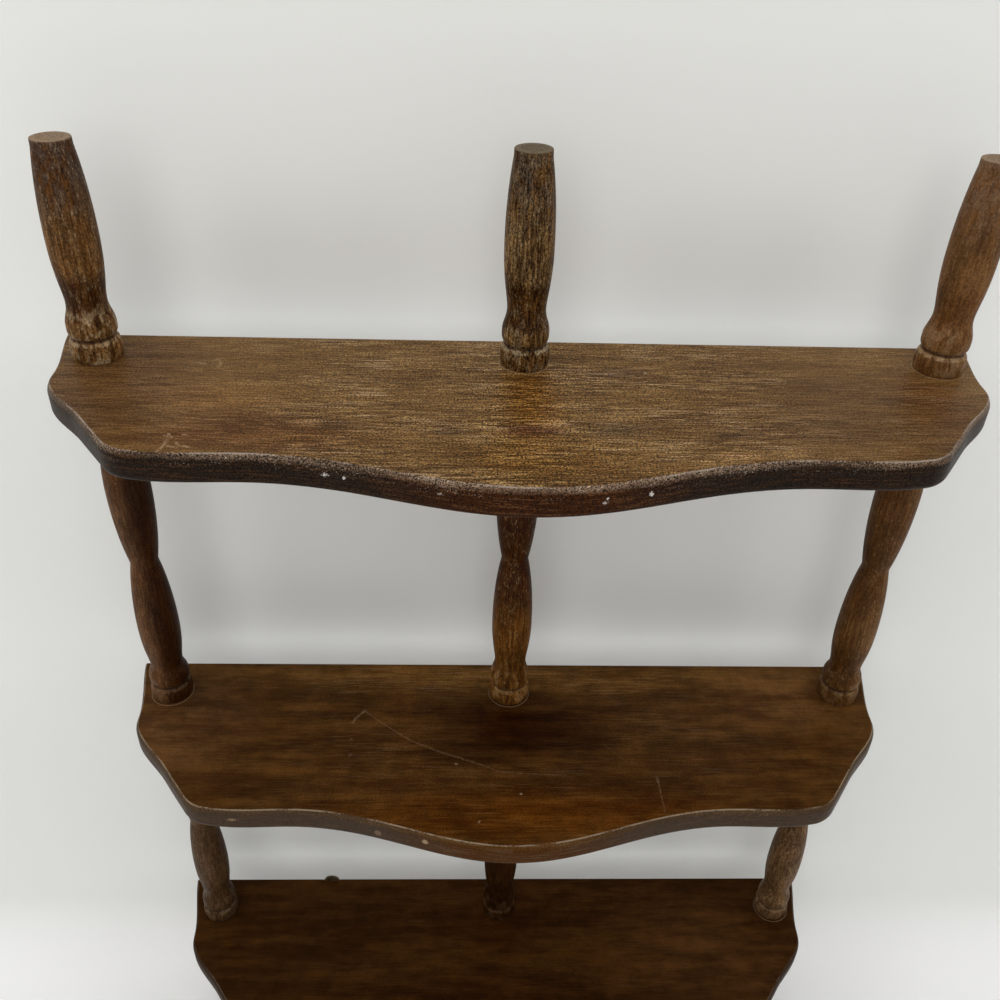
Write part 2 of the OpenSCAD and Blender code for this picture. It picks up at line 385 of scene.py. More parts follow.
class Wire:
    """An output socket of a graph, which takes part in expressions."""

    def __init__(self, graph: "Graph", socket: bpy.types.NodeSocket) -> None:
        """Keeps the graph and the output socket."""
        self.graph = graph
        self.socket = socket

    def _join(self, operation: str, first: object, second: object) -> "Wire":
        """One Math or Vector Math node on two operands.

        Args:
            operation: what the node does.
            first: its first operand, a wire, a number or a tuple.
            second: its second operand.

        Returns:
            The wire from the node.
        """
        vectors = [w for w in (first, second) if self.is_vector(w)]
        if not vectors:
            return self.graph.math(operation, first, second)
        if operation == "MULTIPLY" and len(vectors) == 1:
            vector, number = (first, second) if vectors[0] is first else (second, first)
            return self.graph.vector("SCALE", {0: vector, "Scale": number})
        return self.graph.vector(operation, {0: first, 1: second})

    @staticmethod
    def is_vector(operand: object) -> bool:
        """Whether an operand is a vector or a colour."""
        if isinstance(operand, Wire):
            return operand.socket.type in ("VECTOR", "RGBA")
        return isinstance(operand, tuple)

    def also(self, output: int | str) -> "Wire":
        """Another output of the same node."""
        return Wire(self.graph, self.socket.node.outputs[output])

    def __add__(self, other: object) -> "Wire":
        """Sum."""
        return self._join("ADD", self, other)

    __radd__ = __add__

    def __mul__(self, other: object) -> "Wire":
        """Product."""
        return self._join("MULTIPLY", self, other)

    __rmul__ = __mul__

    def __sub__(self, other: object) -> "Wire":
        """Difference."""
        return self._join("SUBTRACT", self, other)

    def __rsub__(self, other: object) -> "Wire":
        """Difference from a number or a vector."""
        return self._join("SUBTRACT", other, self)

    def __truediv__(self, other: object) -> "Wire":
        """Quotient."""
        return self._join("DIVIDE", self, other)

    def at_least(self, other: object) -> "Wire":
        """The larger of two."""
        return self._join("MAXIMUM", self, other)

    def at_most(self, other: object) -> "Wire":
        """The smaller of two."""
        return self._join("MINIMUM", self, other)

    def size(self) -> "Wire":
        """The number without its sign."""
        return self.graph.math("ABSOLUTE", self)

    def wave(self) -> "Wire":
        """The sine of the number."""
        return self.graph.math("SINE", self)

    def grained(self, dust: "Wire", gain: object, darkest: float = 0.08) -> "Wire":
        """A colour made lighter and darker by fine dust, around its own tone."""
        return self * ((dust - 0.5) * gain + 1).at_least(darkest)


class Graph:
    """A node graph."""

    def __init__(self, tree: bpy.types.NodeTree) -> None:
        """Takes a tree and empties it."""
        self.tree = tree
        self.tree.nodes.clear()

    def node(self, kind: str, settings: dict, sockets: dict, out: int | str = 0) -> Wire:
        """Adds a node.

        Args:
            kind: the node's type.
            settings: its settings, which are set first.
            sockets: the values or wires of its inputs, by number or name.
            out: the output that is wanted.

        Returns:
            The wire from that output.
        """
        made = self.tree.nodes.new(kind)
        for name, value in settings.items():
            setattr(made, name, value)
        for name, value in sockets.items():
            socket = made.inputs[name]
            if isinstance(value, Wire):
                self.tree.links.new(value.socket, socket)
            elif socket.type == "RGBA" and len(value) == 3:
                socket.default_value = (*value, 1.0)
            else:
                socket.default_value = value
        return Wire(self, made.outputs[out])

    def math(self, operation: str, *operands: object) -> Wire:
        """Adds a Math node."""
        return self.node("ShaderNodeMath", {"operation": operation}, dict(enumerate(operands)))

    def vector(self, operation: str, sockets: dict, out: int | str = 0) -> Wire:
        """Adds a Vector Math node."""
        return self.node("ShaderNodeVectorMath", {"operation": operation}, sockets, out)

    def length(self, arm: Wire) -> Wire:
        """The length of a vector."""
        return self.vector("LENGTH", {0: arm}, "Value")

    def end(self, surface: Wire, kind: str = "ShaderNodeOutputMaterial") -> None:
        """Leads a surface to the graph's output."""
        self.tree.links.new(surface.socket, self.tree.nodes.new(kind).inputs["Surface"])


class Paint(Graph):
    """The graph of one material, on Object coordinates in millimetres."""

    SEED_STEP = (7.3, 3.1, 5.7)

    def __init__(self, name: str, centre: Place = (0, 0, 0), seed: float = 0.0) -> None:
        """Makes a material.

        Args:
            name: the material's name.
            centre: the place that the patterns are measured from, in millimetres.
            seed: moves all its noise elsewhere.
        """
        self.material = bpy.data.materials.new(name)
        self.material.use_nodes = True
        super().__init__(self.material.node_tree)
        self.seed = seed
        self.place = self.node("ShaderNodeTexCoord", {}, {}, "Object") * (1 / MM) - centre
        self.x = self.node("ShaderNodeSeparateXYZ", {}, {0: self.place})
        self.y, self.z = self.x.also(1), self.x.also(2)
        normal = self.node("ShaderNodeTexCoord", {}, {}, "Normal")
        self.up = self.node("ShaderNodeSeparateXYZ", {}, {0: normal}, 2)

    def noise(
        self,
        size: Place,
        detail: float = 2.0,
        rough: float = 0.5,
        seed: float = 0.0,
        warp: float = 0.0,
    ) -> Wire:
        """Cloudy noise around one half.

        Args:
            size: the length of a cloud along each axis, in millimetres.
            detail: how many finer layers are laid over it.
            rough: how strong the finer layers are.
            seed: moves the noise elsewhere, on top of the material's own seed.
            warp: how much the clouds are distorted.

        Returns:
            The noise.
        """
        seed += self.seed
        scaled = self.place * tuple(1 / s for s in size)
        return self.node(
            "ShaderNodeTexNoise",
            {"noise_dimensions": "3D"},
            {
                "Vector": scaled + tuple(seed * step for step in self.SEED_STEP),
                "Scale": 1.0,
                "Detail": detail,
                "Roughness": rough,
                "Distortion": warp,
            },
        )

    def band(self, value: Wire, low: float, high: float) -> Wire:
        """Rises softly from 0 to 1 while a value goes from low to high.

        Args:
            value: the value.
            low: where it is 0. A low above high makes it fall instead.
            high: where it is 1.

        Returns:
            The share from 0 to 1.
        """
        return self.node(
            "ShaderNodeMapRange",
            {"interpolation_type": "SMOOTHSTEP", "clamp": True},
            {"Value": value, "From Min": low, "From Max": high, "To Min": 0.0, "To Max": 1.0},
        )

    def between(self, value: Wire, low: float, high: float, soft: float) -> Wire:
        """Is 1 while a value lies between low and high, with soft ends."""
        return self.band(value, low - soft, low) * (1 - self.band(value, high, high + soft))

    def blend(self, share: object, under: object, over: object, how: str = "MIX") -> Wire:
        """Lays one colour over another by a share.

        Args:
            share: how much of the upper colour is laid on.
            under: the lower colour.
            over: the upper colour.
            how: MIX, or MULTIPLY to tint the lower colour.

        Returns:
            The blended colour.
        """
        return self.node(
            "ShaderNodeMix",
            {"data_type": "RGBA", "blend_type": how, "clamp_factor": True},
            {0: share, 6: under, 7: over},
            2,
        )

    def span(self, end: Place, size: Place) -> Wire:
        """The distance of each point from a place, with each axis multiplied by a size."""
        return self.length((self.place - end) * size)

    def reach(self, start: Place, end: Place) -> Wire:
        """The distance of each point from a straight stroke.

        Args:
            start: where the stroke begins, in millimetres.
            end: where it ends.

        Returns:
            The distance in millimetres.
        """
        stroke = tuple(b - a for a, b in zip(start, end))
        arm = self.place - start
        along = self.vector("DOT_PRODUCT", {0: arm, 1: stroke}, "Value")
        share = (along / sum(s * s for s in stroke)).at_least(0.0).at_most(1.0)
        foot = self.vector("SCALE", {0: stroke, "Scale": share})
        return self.length(arm - foot)

    def radius(self, x: float = 0.0, y: float = 0.0) -> Wire:
        """The distance of each point from an upright line, in millimetres."""
        flat = {0: self.x - x, 1: self.y - y, 2: 0.0}
        return self.length(self.node("ShaderNodeCombineXYZ", {}, flat))

    def bump(self, height: Wire, depth: float, strength: float) -> Wire:
        """Turns a height into a normal, with its full depth in millimetres."""
        sockets = {"Height": height, "Distance": depth * MM, "Strength": strength}
        return self.node("ShaderNodeBump", {}, sockets)

    def finish(self, **sockets: object) -> bpy.types.Material:
        """Ends the graph in a Principled surface.

        Args:
            sockets: values or wires of the surface's inputs, with _ for a space.

        Returns:
            The finished material.
        """
        named = {name.replace("_", " "): value for name, value in sockets.items()}
        self.end(self.node("ShaderNodeBsdfPrincipled", {}, named, "BSDF"))
        return self.material


# Finishes

# The margin attribute is stored in centimetres, because a factor stays below 1
MARGIN_SCALE = 10.0


@dataclass(frozen=True)
class Scratch:
    """A scratch on a board, as the places that its line joins."""

    line: tuple[Point, ...]
    width: float = 0.7
    strength: float = 0.7


@dataclass(frozen=True)
class Chip:
    """A small spot where the stain is knocked off a board."""

    place: Place
    size: float = 1.2
    tint: Tint = (0.62, 0.58, 0.52)
    strength: float = 0.9
    long: float = 1.0


@dataclass(frozen=True)
class ToneAndLightPatch:
    """A soft patch on a board where its tone is multiplied by a tint: some are the wood's own tone, others
    are painted light, painted shade and painted reflections, as noted where they are listed.
    """

    place: Point
    size: Point
    tint: Tint


@dataclass(frozen=True)
class BoardFinish:
    """The stained, worn finish of one board, with painted sheen on its rounded upper edge and painted light
    and shade in some patches.
    """

    level: Level
    seed: float
    deep: Tint = (0.096, 0.046, 0.0135)
    mid: Tint = (0.159, 0.083, 0.0250)
    pale: Tint = (0.330, 0.205, 0.080)
    edge: Tint = (0.014, 0.0080, 0.0045)
    edge_centre: Tint = (0.032, 0.0085, 0.0010)
    edge_streak: Tint = (0.075, 0.030, 0.009)
    # This tint colours the painted sheen and rubbed wear on the rim's upper part, and the worn lower arris.
    edge_sheen_and_wear: Tint = (0.205, 0.138, 0.090)
    edge_salt: Tint = (0.400, 0.330, 0.270)
    arris: float = 0.60
    # This strength sets how much painted sheen and rubbed wear the rim's upper part gets.
    worn: float = 0.74
    salt: float = 0.50
    flecks: float = 0.40
    threads: float = 0.75
    pores: float = 0.32
    mottle: float = 0.3
    crisp: float = 1.0
    heart: float = 0.45
    gloss: float = 0.055
    roughness: float = 0.40
    scratches: tuple[Scratch, ...] = ()
    chips: tuple[Chip, ...] = ()
    patches: tuple[ToneAndLightPatch, ...] = ()
    rings: tuple[Point, ...] = ()
    ring_edge: Point = (13.7, 14.1)
    ring_tint: Tint = (0.30, 0.205, 0.125)
    ring: float = 0.45

    def material(self) -> bpy.types.Material:
        """Builds the board's material.

        Returns:
            A material with grain along the board, pores, wear and marks.
        """
        name = f"{self.level.name.lower()}_board"
        g = Paint(name, (0, 0, self.level.value + BOARD / 2), self.seed)
        flat = g.band(g.up, 0.80, 0.97)
        side = 1 - g.band(g.up.size(), 0.72, 0.95)
        grit = g.noise((0.75, 0.7, 0.65), 1, 0.6, seed=8)
        dust = g.noise((0.95, 1.1, 0.9), 1, 0.6, seed=6)

        wood, line, pores = self.grain(g, dust)
        wood = g.blend(side, wood, self.rim(g, grit))
        wood = self.arrises(g, wood, grit)
        for x, drop in self.rings:
            round_foot = g.radius(x, -SPINDLE_IN - drop)
            ring = g.between(round_foot + dust * 0.4, *self.ring_edge, 0.3) * flat
            wood = g.blend(ring * self.ring, wood, self.ring_tint)

        marks = flat * 0.0
        for scratch in self.scratches:
            for a, b in zip(scratch.line, scratch.line[1:]):
                away = g.reach((*a, 0), (*b, 0)) + (dust - 0.5) * 3.0
                marks = marks.at_least((1 - g.band(away, 0.0, scratch.width)) * scratch.strength)
        marks = marks * flat * g.band(grit, 0.34, 0.52)
        wood = g.blend(marks, wood, self.pale_mark())
        for chip in self.chips:
            away = g.span(chip.place, (1 / chip.long, 1.0, 1.0)) + grit * 3.0 - 1.5
            spot = (1 - g.band(away, chip.size * 0.6, chip.size * 1.1)) * chip.strength
            wood = g.blend(spot, wood, chip.tint)
            marks = marks.at_least(spot)

        relief = line * 0.35 - pores * 0.8 + dust * 0.15 + grit * 0.25 - marks * 1.5
        return g.finish(
            Base_Color=wood,
            Roughness=self.roughness + pores * 0.10,
            Specular_IOR_Level=self.gloss,
            Normal=g.bump(relief, 0.07, 0.6),
        )

    def pale_mark(self) -> Tint:
        """The tint of a scratch: the board's pale grain, greyed."""
        red, green, blue = self.pale
        return (1.1 * red, 1.2 * green, 1.8 * blue)

    def grain(self, g: Paint, dust: Wire) -> tuple[Wire, Wire, Wire]:
        """The wood along the board, with its patches of tone and of painted light and shade.

        Args:
            g: the board's graph.
            dust: fine dust that breaks up the tone.

        Returns:
            The wood's colour, its fine lines and its pores.
        """
        cloud = g.noise((150, 40, 40), 2)
        drift = g.noise((46, 8, 8), 3, 0.6, seed=1)
        line = g.noise((26, 1.15, 1.1), 2, 0.65, seed=2)
        thread = g.noise((30, 0.90, 0.9), 0, seed=13)
        dash = g.noise((3.8, 1.0, 0.9), 1, 0.6, seed=3)
        fleck = g.noise((10.0, 0.85, 0.8), 0, 0.5, seed=4)
        chaff = g.noise((4.5, 0.85, 0.8), 0, 0.5, seed=7)
        crowd = g.noise((60, 20, 20), 2, seed=5)

        open_grain = 1 - g.band(g.x.size(), 95, 165)
        heart = 1 - g.band((g.x - 2).size(), 12, 42)
        strong = (open_grain * 0.60 + heart * self.heart + 0.85) * self.crisp

        wood = g.blend(g.band(cloud * 0.4 + drift * 0.6, 0.38, 0.62), self.deep, self.mid)
        wood = wood.grained(g.noise((11, 9, 9), 3, 0.6, seed=14), self.mottle)
        wood = g.blend(g.band(line, 0.50, 0.70) * strong * 0.36, wood, self.pale)
        wood = g.blend(g.band(line, 0.51, 0.34) * strong * 0.50, wood, tuple(0.50 * c for c in self.deep))
        pores = g.band(dash, 0.54, 0.66)
        wood = g.blend(pores * strong * self.pores, wood, tuple(0.30 * c for c in self.deep))
        flecked = g.band(fleck, 0.63, 0.70).at_least(g.band(chaff, 0.66, 0.73) * 0.6)
        wood = g.blend(flecked * g.band(crowd, 0.38, 0.56) * strong * self.flecks, wood, self.pale)
        thread = g.band(thread, 0.64, 0.72) * g.band(crowd, 0.44, 0.58) * (open_grain * 0.70 + 0.30)
        wood = g.blend(thread * self.threads, wood, self.pale_mark())
        # Patches multiply the tone: some are the wood's own, others are painted light, painted shade and
        # painted reflection.
        for patch in self.patches:
            spread = g.span((*patch.place, 0), (1 / patch.size[0], 1 / patch.size[1], 0.0))
            near = 1 - g.band(spread + drift * 0.6, 0.45, 1.5)
            wood = g.blend(near, wood, patch.tint, "MULTIPLY")
        return wood.grained(dust, strong * 3.0), line, pores

    def rim(self, g: Paint, grit: Wire) -> Wire:
        """The dark edge round a board, speckled along its upper part, which is made lighter by painted
        sheen and rubbed wear.

        Args:
            g: the board's graph.
            grit: fine grit that breaks up the tone.

        Returns:
            The edge's colour.
        """
        stroke = g.noise((22, 9, 1.0), 2, 0.6, seed=9)
        run = g.noise((34, 34, 5), 2, 0.6, seed=11)
        speck = g.noise((0.8, 0.8, 0.7), 0, seed=12)
        off_centre = g.band(g.x.size(), 20, 90)
        rim = g.blend(off_centre, self.edge_centre, self.edge)
        rim = g.blend(g.band(stroke, 0.50, 0.64) * (1.0 - off_centre * 0.60), rim, self.edge_streak)
        # Painted sheen: the rounded upper part of the edge is painted lighter the more its face turns up,
        # as the overhead light would make it shine; patchy rubbed wear is mixed in.
        painted_sheen_slope = g.band(g.up + run * 0.25, 0.23, 0.69)
        rubbed = painted_sheen_slope * (0.74 - off_centre * 0.38 + 0.50 * g.band(grit * 0.4 + run * 0.6, 0.42, 0.58))
        rim = g.blend(rubbed * self.worn, rim, self.edge_sheen_and_wear)
        front = 1 - g.band(g.x.size(), 200, 228)
        salted = g.band(speck, 0.64, 0.72) * g.band(run, 0.44, 0.60) * g.band(g.z, -9.0, -1.5)
        rim = g.blend(salted * self.salt * front, rim, self.edge_salt)
        return rim.grained(grit, (front * 3.0 + 2.0) * self.crisp)

    def arrises(self, g: Paint, wood: Wire, grit: Wire) -> Wire:
        """The two arrises, worn pale here and there.

        Args:
            g: the board's graph.
            wood: the colour below.
            grit: fine grit that breaks up the tone.

        Returns:
            The colour with the worn arrises on it.
        """
        margin = g.node("ShaderNodeAttribute", {"attribute_name": "margin"}, {}, "Fac") * MARGIN_SCALE
        wander = g.noise((26, 26, 4), 3, 0.65, seed=10)
        upper = g.band(g.z, -0.80, -0.40) * (1 - g.band(margin, 0.0, 0.5))
        worn = upper * g.band(wander + (grit - 0.5) * 0.5, 0.40, 0.56)
        wood = g.blend(worn * self.arris, wood, self.edge_salt)
        lower = g.between(g.z, -16.2, -15.6, 0.4) * g.band(wander + (grit - 0.5) * 0.5, 0.46, 0.60)
        return g.blend(lower * 0.4, wood, self.edge_sheen_and_wear)


@dataclass(frozen=True)
class TurnedFinish:
    """The stained, worn finish of one turned piece; some pieces also get painted shade and painted
    highlights.
    """

    name: str = "turned_wood"
    centre: Place = (0.0, 0.0, 0.0)
    seed: float = 0.0
    tone: Tint = (0.110, 0.050, 0.017)
    pale: Tint = (0.300, 0.200, 0.095)
    cut_tints: tuple[Tint, Tint] = ((0.110, 0.070, 0.040), (0.290, 0.205, 0.135))
    veil: Tint = (0.085, 0.062, 0.048)
    veiled: float = 0.0
    clouds: float = 1.0
    streaks: float = 0.60
    dashes: float = 0.55
    pores: float = 0.40
    rubs: float = 0.35
    # This strength sets the pale lips, which are partly wear and partly a painted highlight.
    lips: float = 0.50
    bead: float = 1.15
    collar: float = 1.0
    neck: float = 0.75
    # The next tint darkens the part far from the seat; on the upper centre spindle that darkening is
    # painted shade under the top shelf.
    far: float = 0.9
    dusty: float = 2.6
    # The next pair paints shade on one side of the piece: which way along x the shaded side lies, and how
    # dark it is painted.
    painted_shade_side: Point = (1.0, 1.0)
    gloss: float = 0.06
    roughness: float = 0.45
    cut_at: float | None = None

    @staticmethod
    def toned(gain: float) -> Tint:
        """A tint that lightens and greys the wood, or deepens and reddens it."""
        return (gain, gain**1.3, gain**1.8)

    def material(self) -> bpy.types.Material:
        """Builds the turned piece's material.

        Returns:
            A material with upright grain, pale dashes, worn rounds and end grain.
        """
        g = Paint(self.name, self.centre, self.seed)
        from_axis = g.radius()
        from_seat = g.z.size()
        away = from_seat.at_most(SPINDLE_LONG - from_seat) if self.cut_at is None else from_seat
        cloud = g.noise((10, 10, 34), 2)
        blotch = g.noise((5, 5, 9), 3, 0.62, seed=1)
        streak = g.noise((1.4, 1.4, 20), 3, 0.65, seed=2, warp=0.2)
        hair = g.noise((0.85, 0.85, 3.6), 1, 0.55, seed=3)
        pore = g.noise((1.05, 1.05, 10.0), 2, 0.6, seed=4, warp=0.5)
        dust = g.noise((0.95, 0.95, 1.2), 1, 0.6, seed=5)

        necked = tuple(t * n for t, n in zip(self.tone, self.toned(self.neck)))
        wood = g.blend(g.between(away, 27, 44, 9), self.tone, necked)
        low = 1 - g.band(away + (blotch - 0.5) * 12, 25, 33)
        seat = 1 - g.band(away, 11.5, 13.5)
        wood = g.blend(low, wood, self.toned(self.bead), "MULTIPLY")
        wood = g.blend(seat, wood, self.toned(self.collar), "MULTIPLY")
        # On the upper centre spindle this far part is painted darker as shade under the top shelf.
        far = g.band(from_seat + (cloud - 0.5) * 40, 62, 100)
        wood = g.blend(far, wood, self.toned(self.far), "MULTIPLY")
        wood = wood.grained(cloud, 1.6 * self.clouds)
        wood = g.blend(g.band(streak, 0.48, 0.62) * self.streaks, wood, (1.9, 2.1, 2.4), "MULTIPLY")
        wood = g.blend(g.band(streak, 0.52, 0.38) * self.streaks, wood, (0.40, 0.33, 0.27), "MULTIPLY")
        rubbed = g.band(blotch, 0.50, 0.60) * (low * 0.9 + 0.1)
        wood = g.blend(rubbed * self.rubs, wood, self.pale)
        wood = g.blend(g.band(blotch, 0.50, 0.38) * low * self.rubs, wood, (0.35, 0.28, 0.22), "MULTIPLY")
        wood = g.blend(far * g.band(blotch, 0.35, 0.60) * self.veiled, wood, self.veil)
        dashed = g.band(hair, 0.57, 0.67) * g.band(blotch, 0.38, 0.56)
        wood = g.blend(dashed * self.dashes, wood, self.pale)
        pitted = g.band(pore, 0.52, 0.62)
        wood = g.blend(pitted * self.pores, wood, (0.28, 0.21, 0.15), "MULTIPLY")
        # Painted shade: one side of the piece is painted darker, as the side turned away from the light.
        dark = g.band(g.x * self.painted_shade_side[0], -5, 6)
        wood = g.blend(dark, wood, self.toned(self.painted_shade_side[1]), "MULTIPLY")
        groove = g.between(away, 11.7, 13.5, 0.8) * (1 - g.band(from_axis, 11.3, 12.2))
        wood = g.blend(groove * 0.6, wood, (0.016, 0.009, 0.006))
        # The pale lips on the collar's rounded shoulder and the bead's foot are partly wear and partly a
        # painted highlight where the rounded shoulder turns to the light.
        lip = g.between(away, 10.2, 11.4, 0.7).at_least(g.between(away, 13.9, 14.6, 0.6) * 0.5)
        wood = g.blend(lip * g.band(blotch, 0.36, 0.54) * self.lips, wood, self.pale)
        wood = wood.grained(dust, self.dusty)

        relief = streak * 0.3 - pitted * 0.8 + dust * 0.15
        rough = self.roughness + pitted * 0.15
        if self.cut_at is not None:
            level = g.z if self.cut_at > 0 else 0 - g.z
            end = g.band(level, abs(self.cut_at) - 0.75, abs(self.cut_at) - 0.35)
            wander = g.noise((5, 5, 5), 2, seed=7) * 3.2
            ring = ((g.radius(5.0, 9.0) + wander) * 2.6).wave()
            fibre = g.noise((0.8, 0.8, 4), 2, 0.7, seed=8)
            grain = g.blend(ring * 0.22 + g.band(fibre, 0.36, 0.66), *self.cut_tints)
            rim = g.band(from_axis, 6.6, 7.9)
            grain = g.blend(rim * 0.4, grain, self.cut_tints[1])
            wood = g.blend(end, wood, grain)
            rough = rough + end * 0.2
        return g.finish(
            Base_Color=wood,
            Roughness=rough,
            Specular_IOR_Level=self.gloss,
            Normal=g.bump(relief, 0.08, 0.6),
        )


@dataclass(frozen=True)
class MetalFinish:
    """A plain metal that has dulled with age."""

    name: str
    bright: Tint
    dull: Tint
    roughness: float = 0.42
    grain: float = 2.5

    def material(self) -> bpy.types.Material:
        """Builds the metal's material.

        Returns:
            A metal that is bright in places and dull in others.
        """
        g = Paint(self.name)
        stain = g.noise((self.grain, self.grain, self.grain), 4, 0.65)
        spots = g.noise((0.5, 0.5, 0.5), 2, 0.6, seed=3)
        tint = g.blend(g.band(stain, 0.42, 0.62), self.bright, self.dull)
        return g.finish(
            Base_Color=tint,
            Metallic=0.9,
            Roughness=self.roughness + stain * 0.25,
            Normal=g.bump(spots, 0.03, 0.5),
        )


BRASS = MetalFinish("aged_brass", (0.17, 0.13, 0.07), (0.055, 0.045, 0.032))
STEEL = MetalFinish("plain_steel", (0.52, 0.51, 0.49), (0.30, 0.28, 0.26), 0.36)

TOP_BOARD = BoardFinish(
    level=Level.TOP,
    seed=1.0,
    scratches=(
        Scratch(((-171.8, -108.6), (-169.0, -112.3)), 0.8, 0.90),
        Scratch(((-173.2, -110.1), (-170.7, -110.9)), 0.8, 0.60),
        Scratch(((-170.7, -114.6), (-171.1, -120.1), (-172.5, -124.5)), 1.3, 0.70),
        Scratch(((-168.8, -120.0), (-164.8, -121.3)), 1.0, 0.65),
        Scratch(((-165.9, -117.2), (-164.5, -119.0)), 0.7, 0.80),
        Scratch(((-163.4, -119.9), (-159.6, -120.2)), 0.9, 0.90),
        Scratch(((-164.6, -109.4), (-162.1, -109.8)), 0.8, 0.80),
        Scratch(((-176.4, -33.3), (-170.7, -34.9)), 1.1, 0.75),
        Scratch(((-164.0, -31.7), (-162.9, -34.0), (-163.6, -37.5)), 1.0, 0.60),
        Scratch(((-167.0, -30.0), (-163.8, -27.4)), 1.1, 0.45),
        Scratch(((-241, -71), (-233, -72.5)), 0.9, 0.4),
        Scratch(((-90, -33), (-76, -33)), 0.9, 0.4),
        Scratch(((47, -34.4), (74, -31)), 0.9, 0.5),
    ),
    chips=(
        Chip((-95.7, -131.9, -7.2), 0.9, long=1.8),
        Chip((-86.8, -134.1, -7.4), 0.7),
        Chip((32.7, -149.3, -7.0), 0.8, long=0.7),
        Chip((31.5, -149.5, -9.1), 0.8, strength=0.7, long=1.5),
        Chip((53.4, -143.9, -7.7), 1.2),
        Chip((-42.6, -146.9, -7.0), 0.7, (0.40, 0.33, 0.26), 0.7, 1.6),
        Chip((65.1, -37.4, 0.0), 0.7, (0.45, 0.36, 0.25), 0.7),
    ),
    patches=(
        ToneAndLightPatch((-215, -60), (52, 66), (0.72, 0.66, 0.70)),
        ToneAndLightPatch((-158, -74), (44, 22), (1.22, 1.16, 1.12)),
        ToneAndLightPatch((-135, -108), (75, 22), (0.80, 0.66, 0.58)),
        # Painted reflection: warmer and less grey in front of the centre finial, where the finial's dark
        # reflection takes the pale sheen away.
        ToneAndLightPatch((2, -70), (20, 60), (0.88, 0.71, 0.42)),
        ToneAndLightPatch((0, -101), (22, 6), (0.62, 0.52, 0.72)),
        ToneAndLightPatch((6, -128), (62, 24), (0.85, 0.76, 0.54)),
        ToneAndLightPatch((68, -72), (34, 26), (1.02, 1.02, 1.02)),
        ToneAndLightPatch((170, -85), (90, 70), (0.80, 0.78, 0.84)),
        ToneAndLightPatch((214, -66), (26, 50), (0.88, 0.78, 0.78)),
        ToneAndLightPatch((-92, -99), (18, 7), (0.62, 0.60, 0.64)),
        ToneAndLightPatch((-39, -101), (14, 8), (0.66, 0.64, 0.66)),
        ToneAndLightPatch((42, -100), (24, 10), (0.66, 0.68, 0.80)),
        ToneAndLightPatch((94, -104), (12, 4), (0.55, 0.52, 0.55)),
        ToneAndLightPatch((52, -38), (26, 6), (0.72, 0.68, 0.74)),
        ToneAndLightPatch((96, -123), (14, 5), (1.50, 1.50, 1.65)),
        ToneAndLightPatch((125, -119), (8, 6), (1.45, 1.55, 1.70)),
    ),
    rings=((0.0, 0.4), (230.0, 0.3)),
)
# Painted shade: the middle board has the top board's stain painted darker, redder and with less contrast,
# for the shade under the top shelf.
MIDDLE_BOARD_WITH_PAINTED_SHADE = BoardFinish(
    level=Level.MIDDLE, seed=21.0, deep=(0.044, 0.0160, 0.0030), mid=(0.092, 0.038, 0.0078),
    pale=(0.180, 0.100, 0.034), edge=(0.052, 0.034, 0.022), edge_centre=(0.063, 0.021, 0.003),
    edge_streak=(0.090, 0.050, 0.022), edge_sheen_and_wear=(0.118, 0.060, 0.018), edge_salt=(0.270, 0.205, 0.135),
    arris=1.0, worn=0.45, salt=0.25, flecks=0.20, threads=0.20, pores=0.30, mottle=1.5, crisp=0.36,
    heart=0.0, gloss=0.03,
    scratches=(
        Scratch(((-105, -56), (-102.5, -51), (-99, -46.5), (-97.5, -45)), 1.4, 0.9),
        Scratch(((-97.5, -45), (-86, -55), (-66, -70.5), (-46, -80.5), (-19, -91)), 0.8, 0.6),
        Scratch(((-19, -91), (-7.5, -96.7), (11.5, -98.3), (34, -99)), 0.6, 0.45),
        Scratch(((91.8, -101), (92.0, -104)), 1.3, 0.75),
        Scratch(((92.0, -104), (92.7, -127)), 0.7, 0.5),
        Scratch(((-63, -92), (-44, -93)), 0.7, 0.35),
        Scratch(((60, -73), (74, -88)), 0.6, 0.25),
    ),
    chips=(
        Chip((5, -114, 0), 0.9, (0.26, 0.18, 0.10)),
        Chip((-21, -134.6, 0), 0.9, (0.26, 0.18, 0.10)),
        Chip((-35.5, -90.3, 0), 0.8, (0.26, 0.18, 0.10)),
        Chip((-53.1, -144.0, -6.3), 2.2, (0.34, 0.24, 0.14)),
        Chip((-81.8, -135.4, -9.2), 2.4, (0.20, 0.145, 0.10), 0.7),
        Chip((-170.5, -127.5, -7.3), 1.0, (0.30, 0.21, 0.13), 0.7, 3.0),
        Chip((-104, -70, 0), 1.2, (0.16, 0.085, 0.05), 0.5),
        Chip((-103.5, -83, 0), 1.5, (0.15, 0.08, 0.05), 0.5),
    ),
    # These patches are painted light and shade: the lighter bluish ones at the back, the right and the left
    # end are a painted reflection of the pale wall, the dark one in the middle is painted shade in front of
    # the centre spindle, and the warm light one along the front is painted light.
    patches=(
        ToneAndLightPatch((0, -12), (260, 20), (2.10, 2.40, 2.70)),
        ToneAndLightPatch((190, -30), (60, 40), (1.60, 1.70, 2.20)),
        ToneAndLightPatch((120, -70), (60, 50), (1.22, 1.30, 1.60)),
        ToneAndLightPatch((-215, -55), (50, 60), (1.32, 1.45, 2.20)),
        ToneAndLightPatch((6, -60), (80, 34), (0.33, 0.22, 0.12)),
        ToneAndLightPatch((10, -130), (150, 24), (1.35, 1.05, 0.50)),
    ),
    rings=((-230.0, 0.6), (0.0, 0.6)),
)
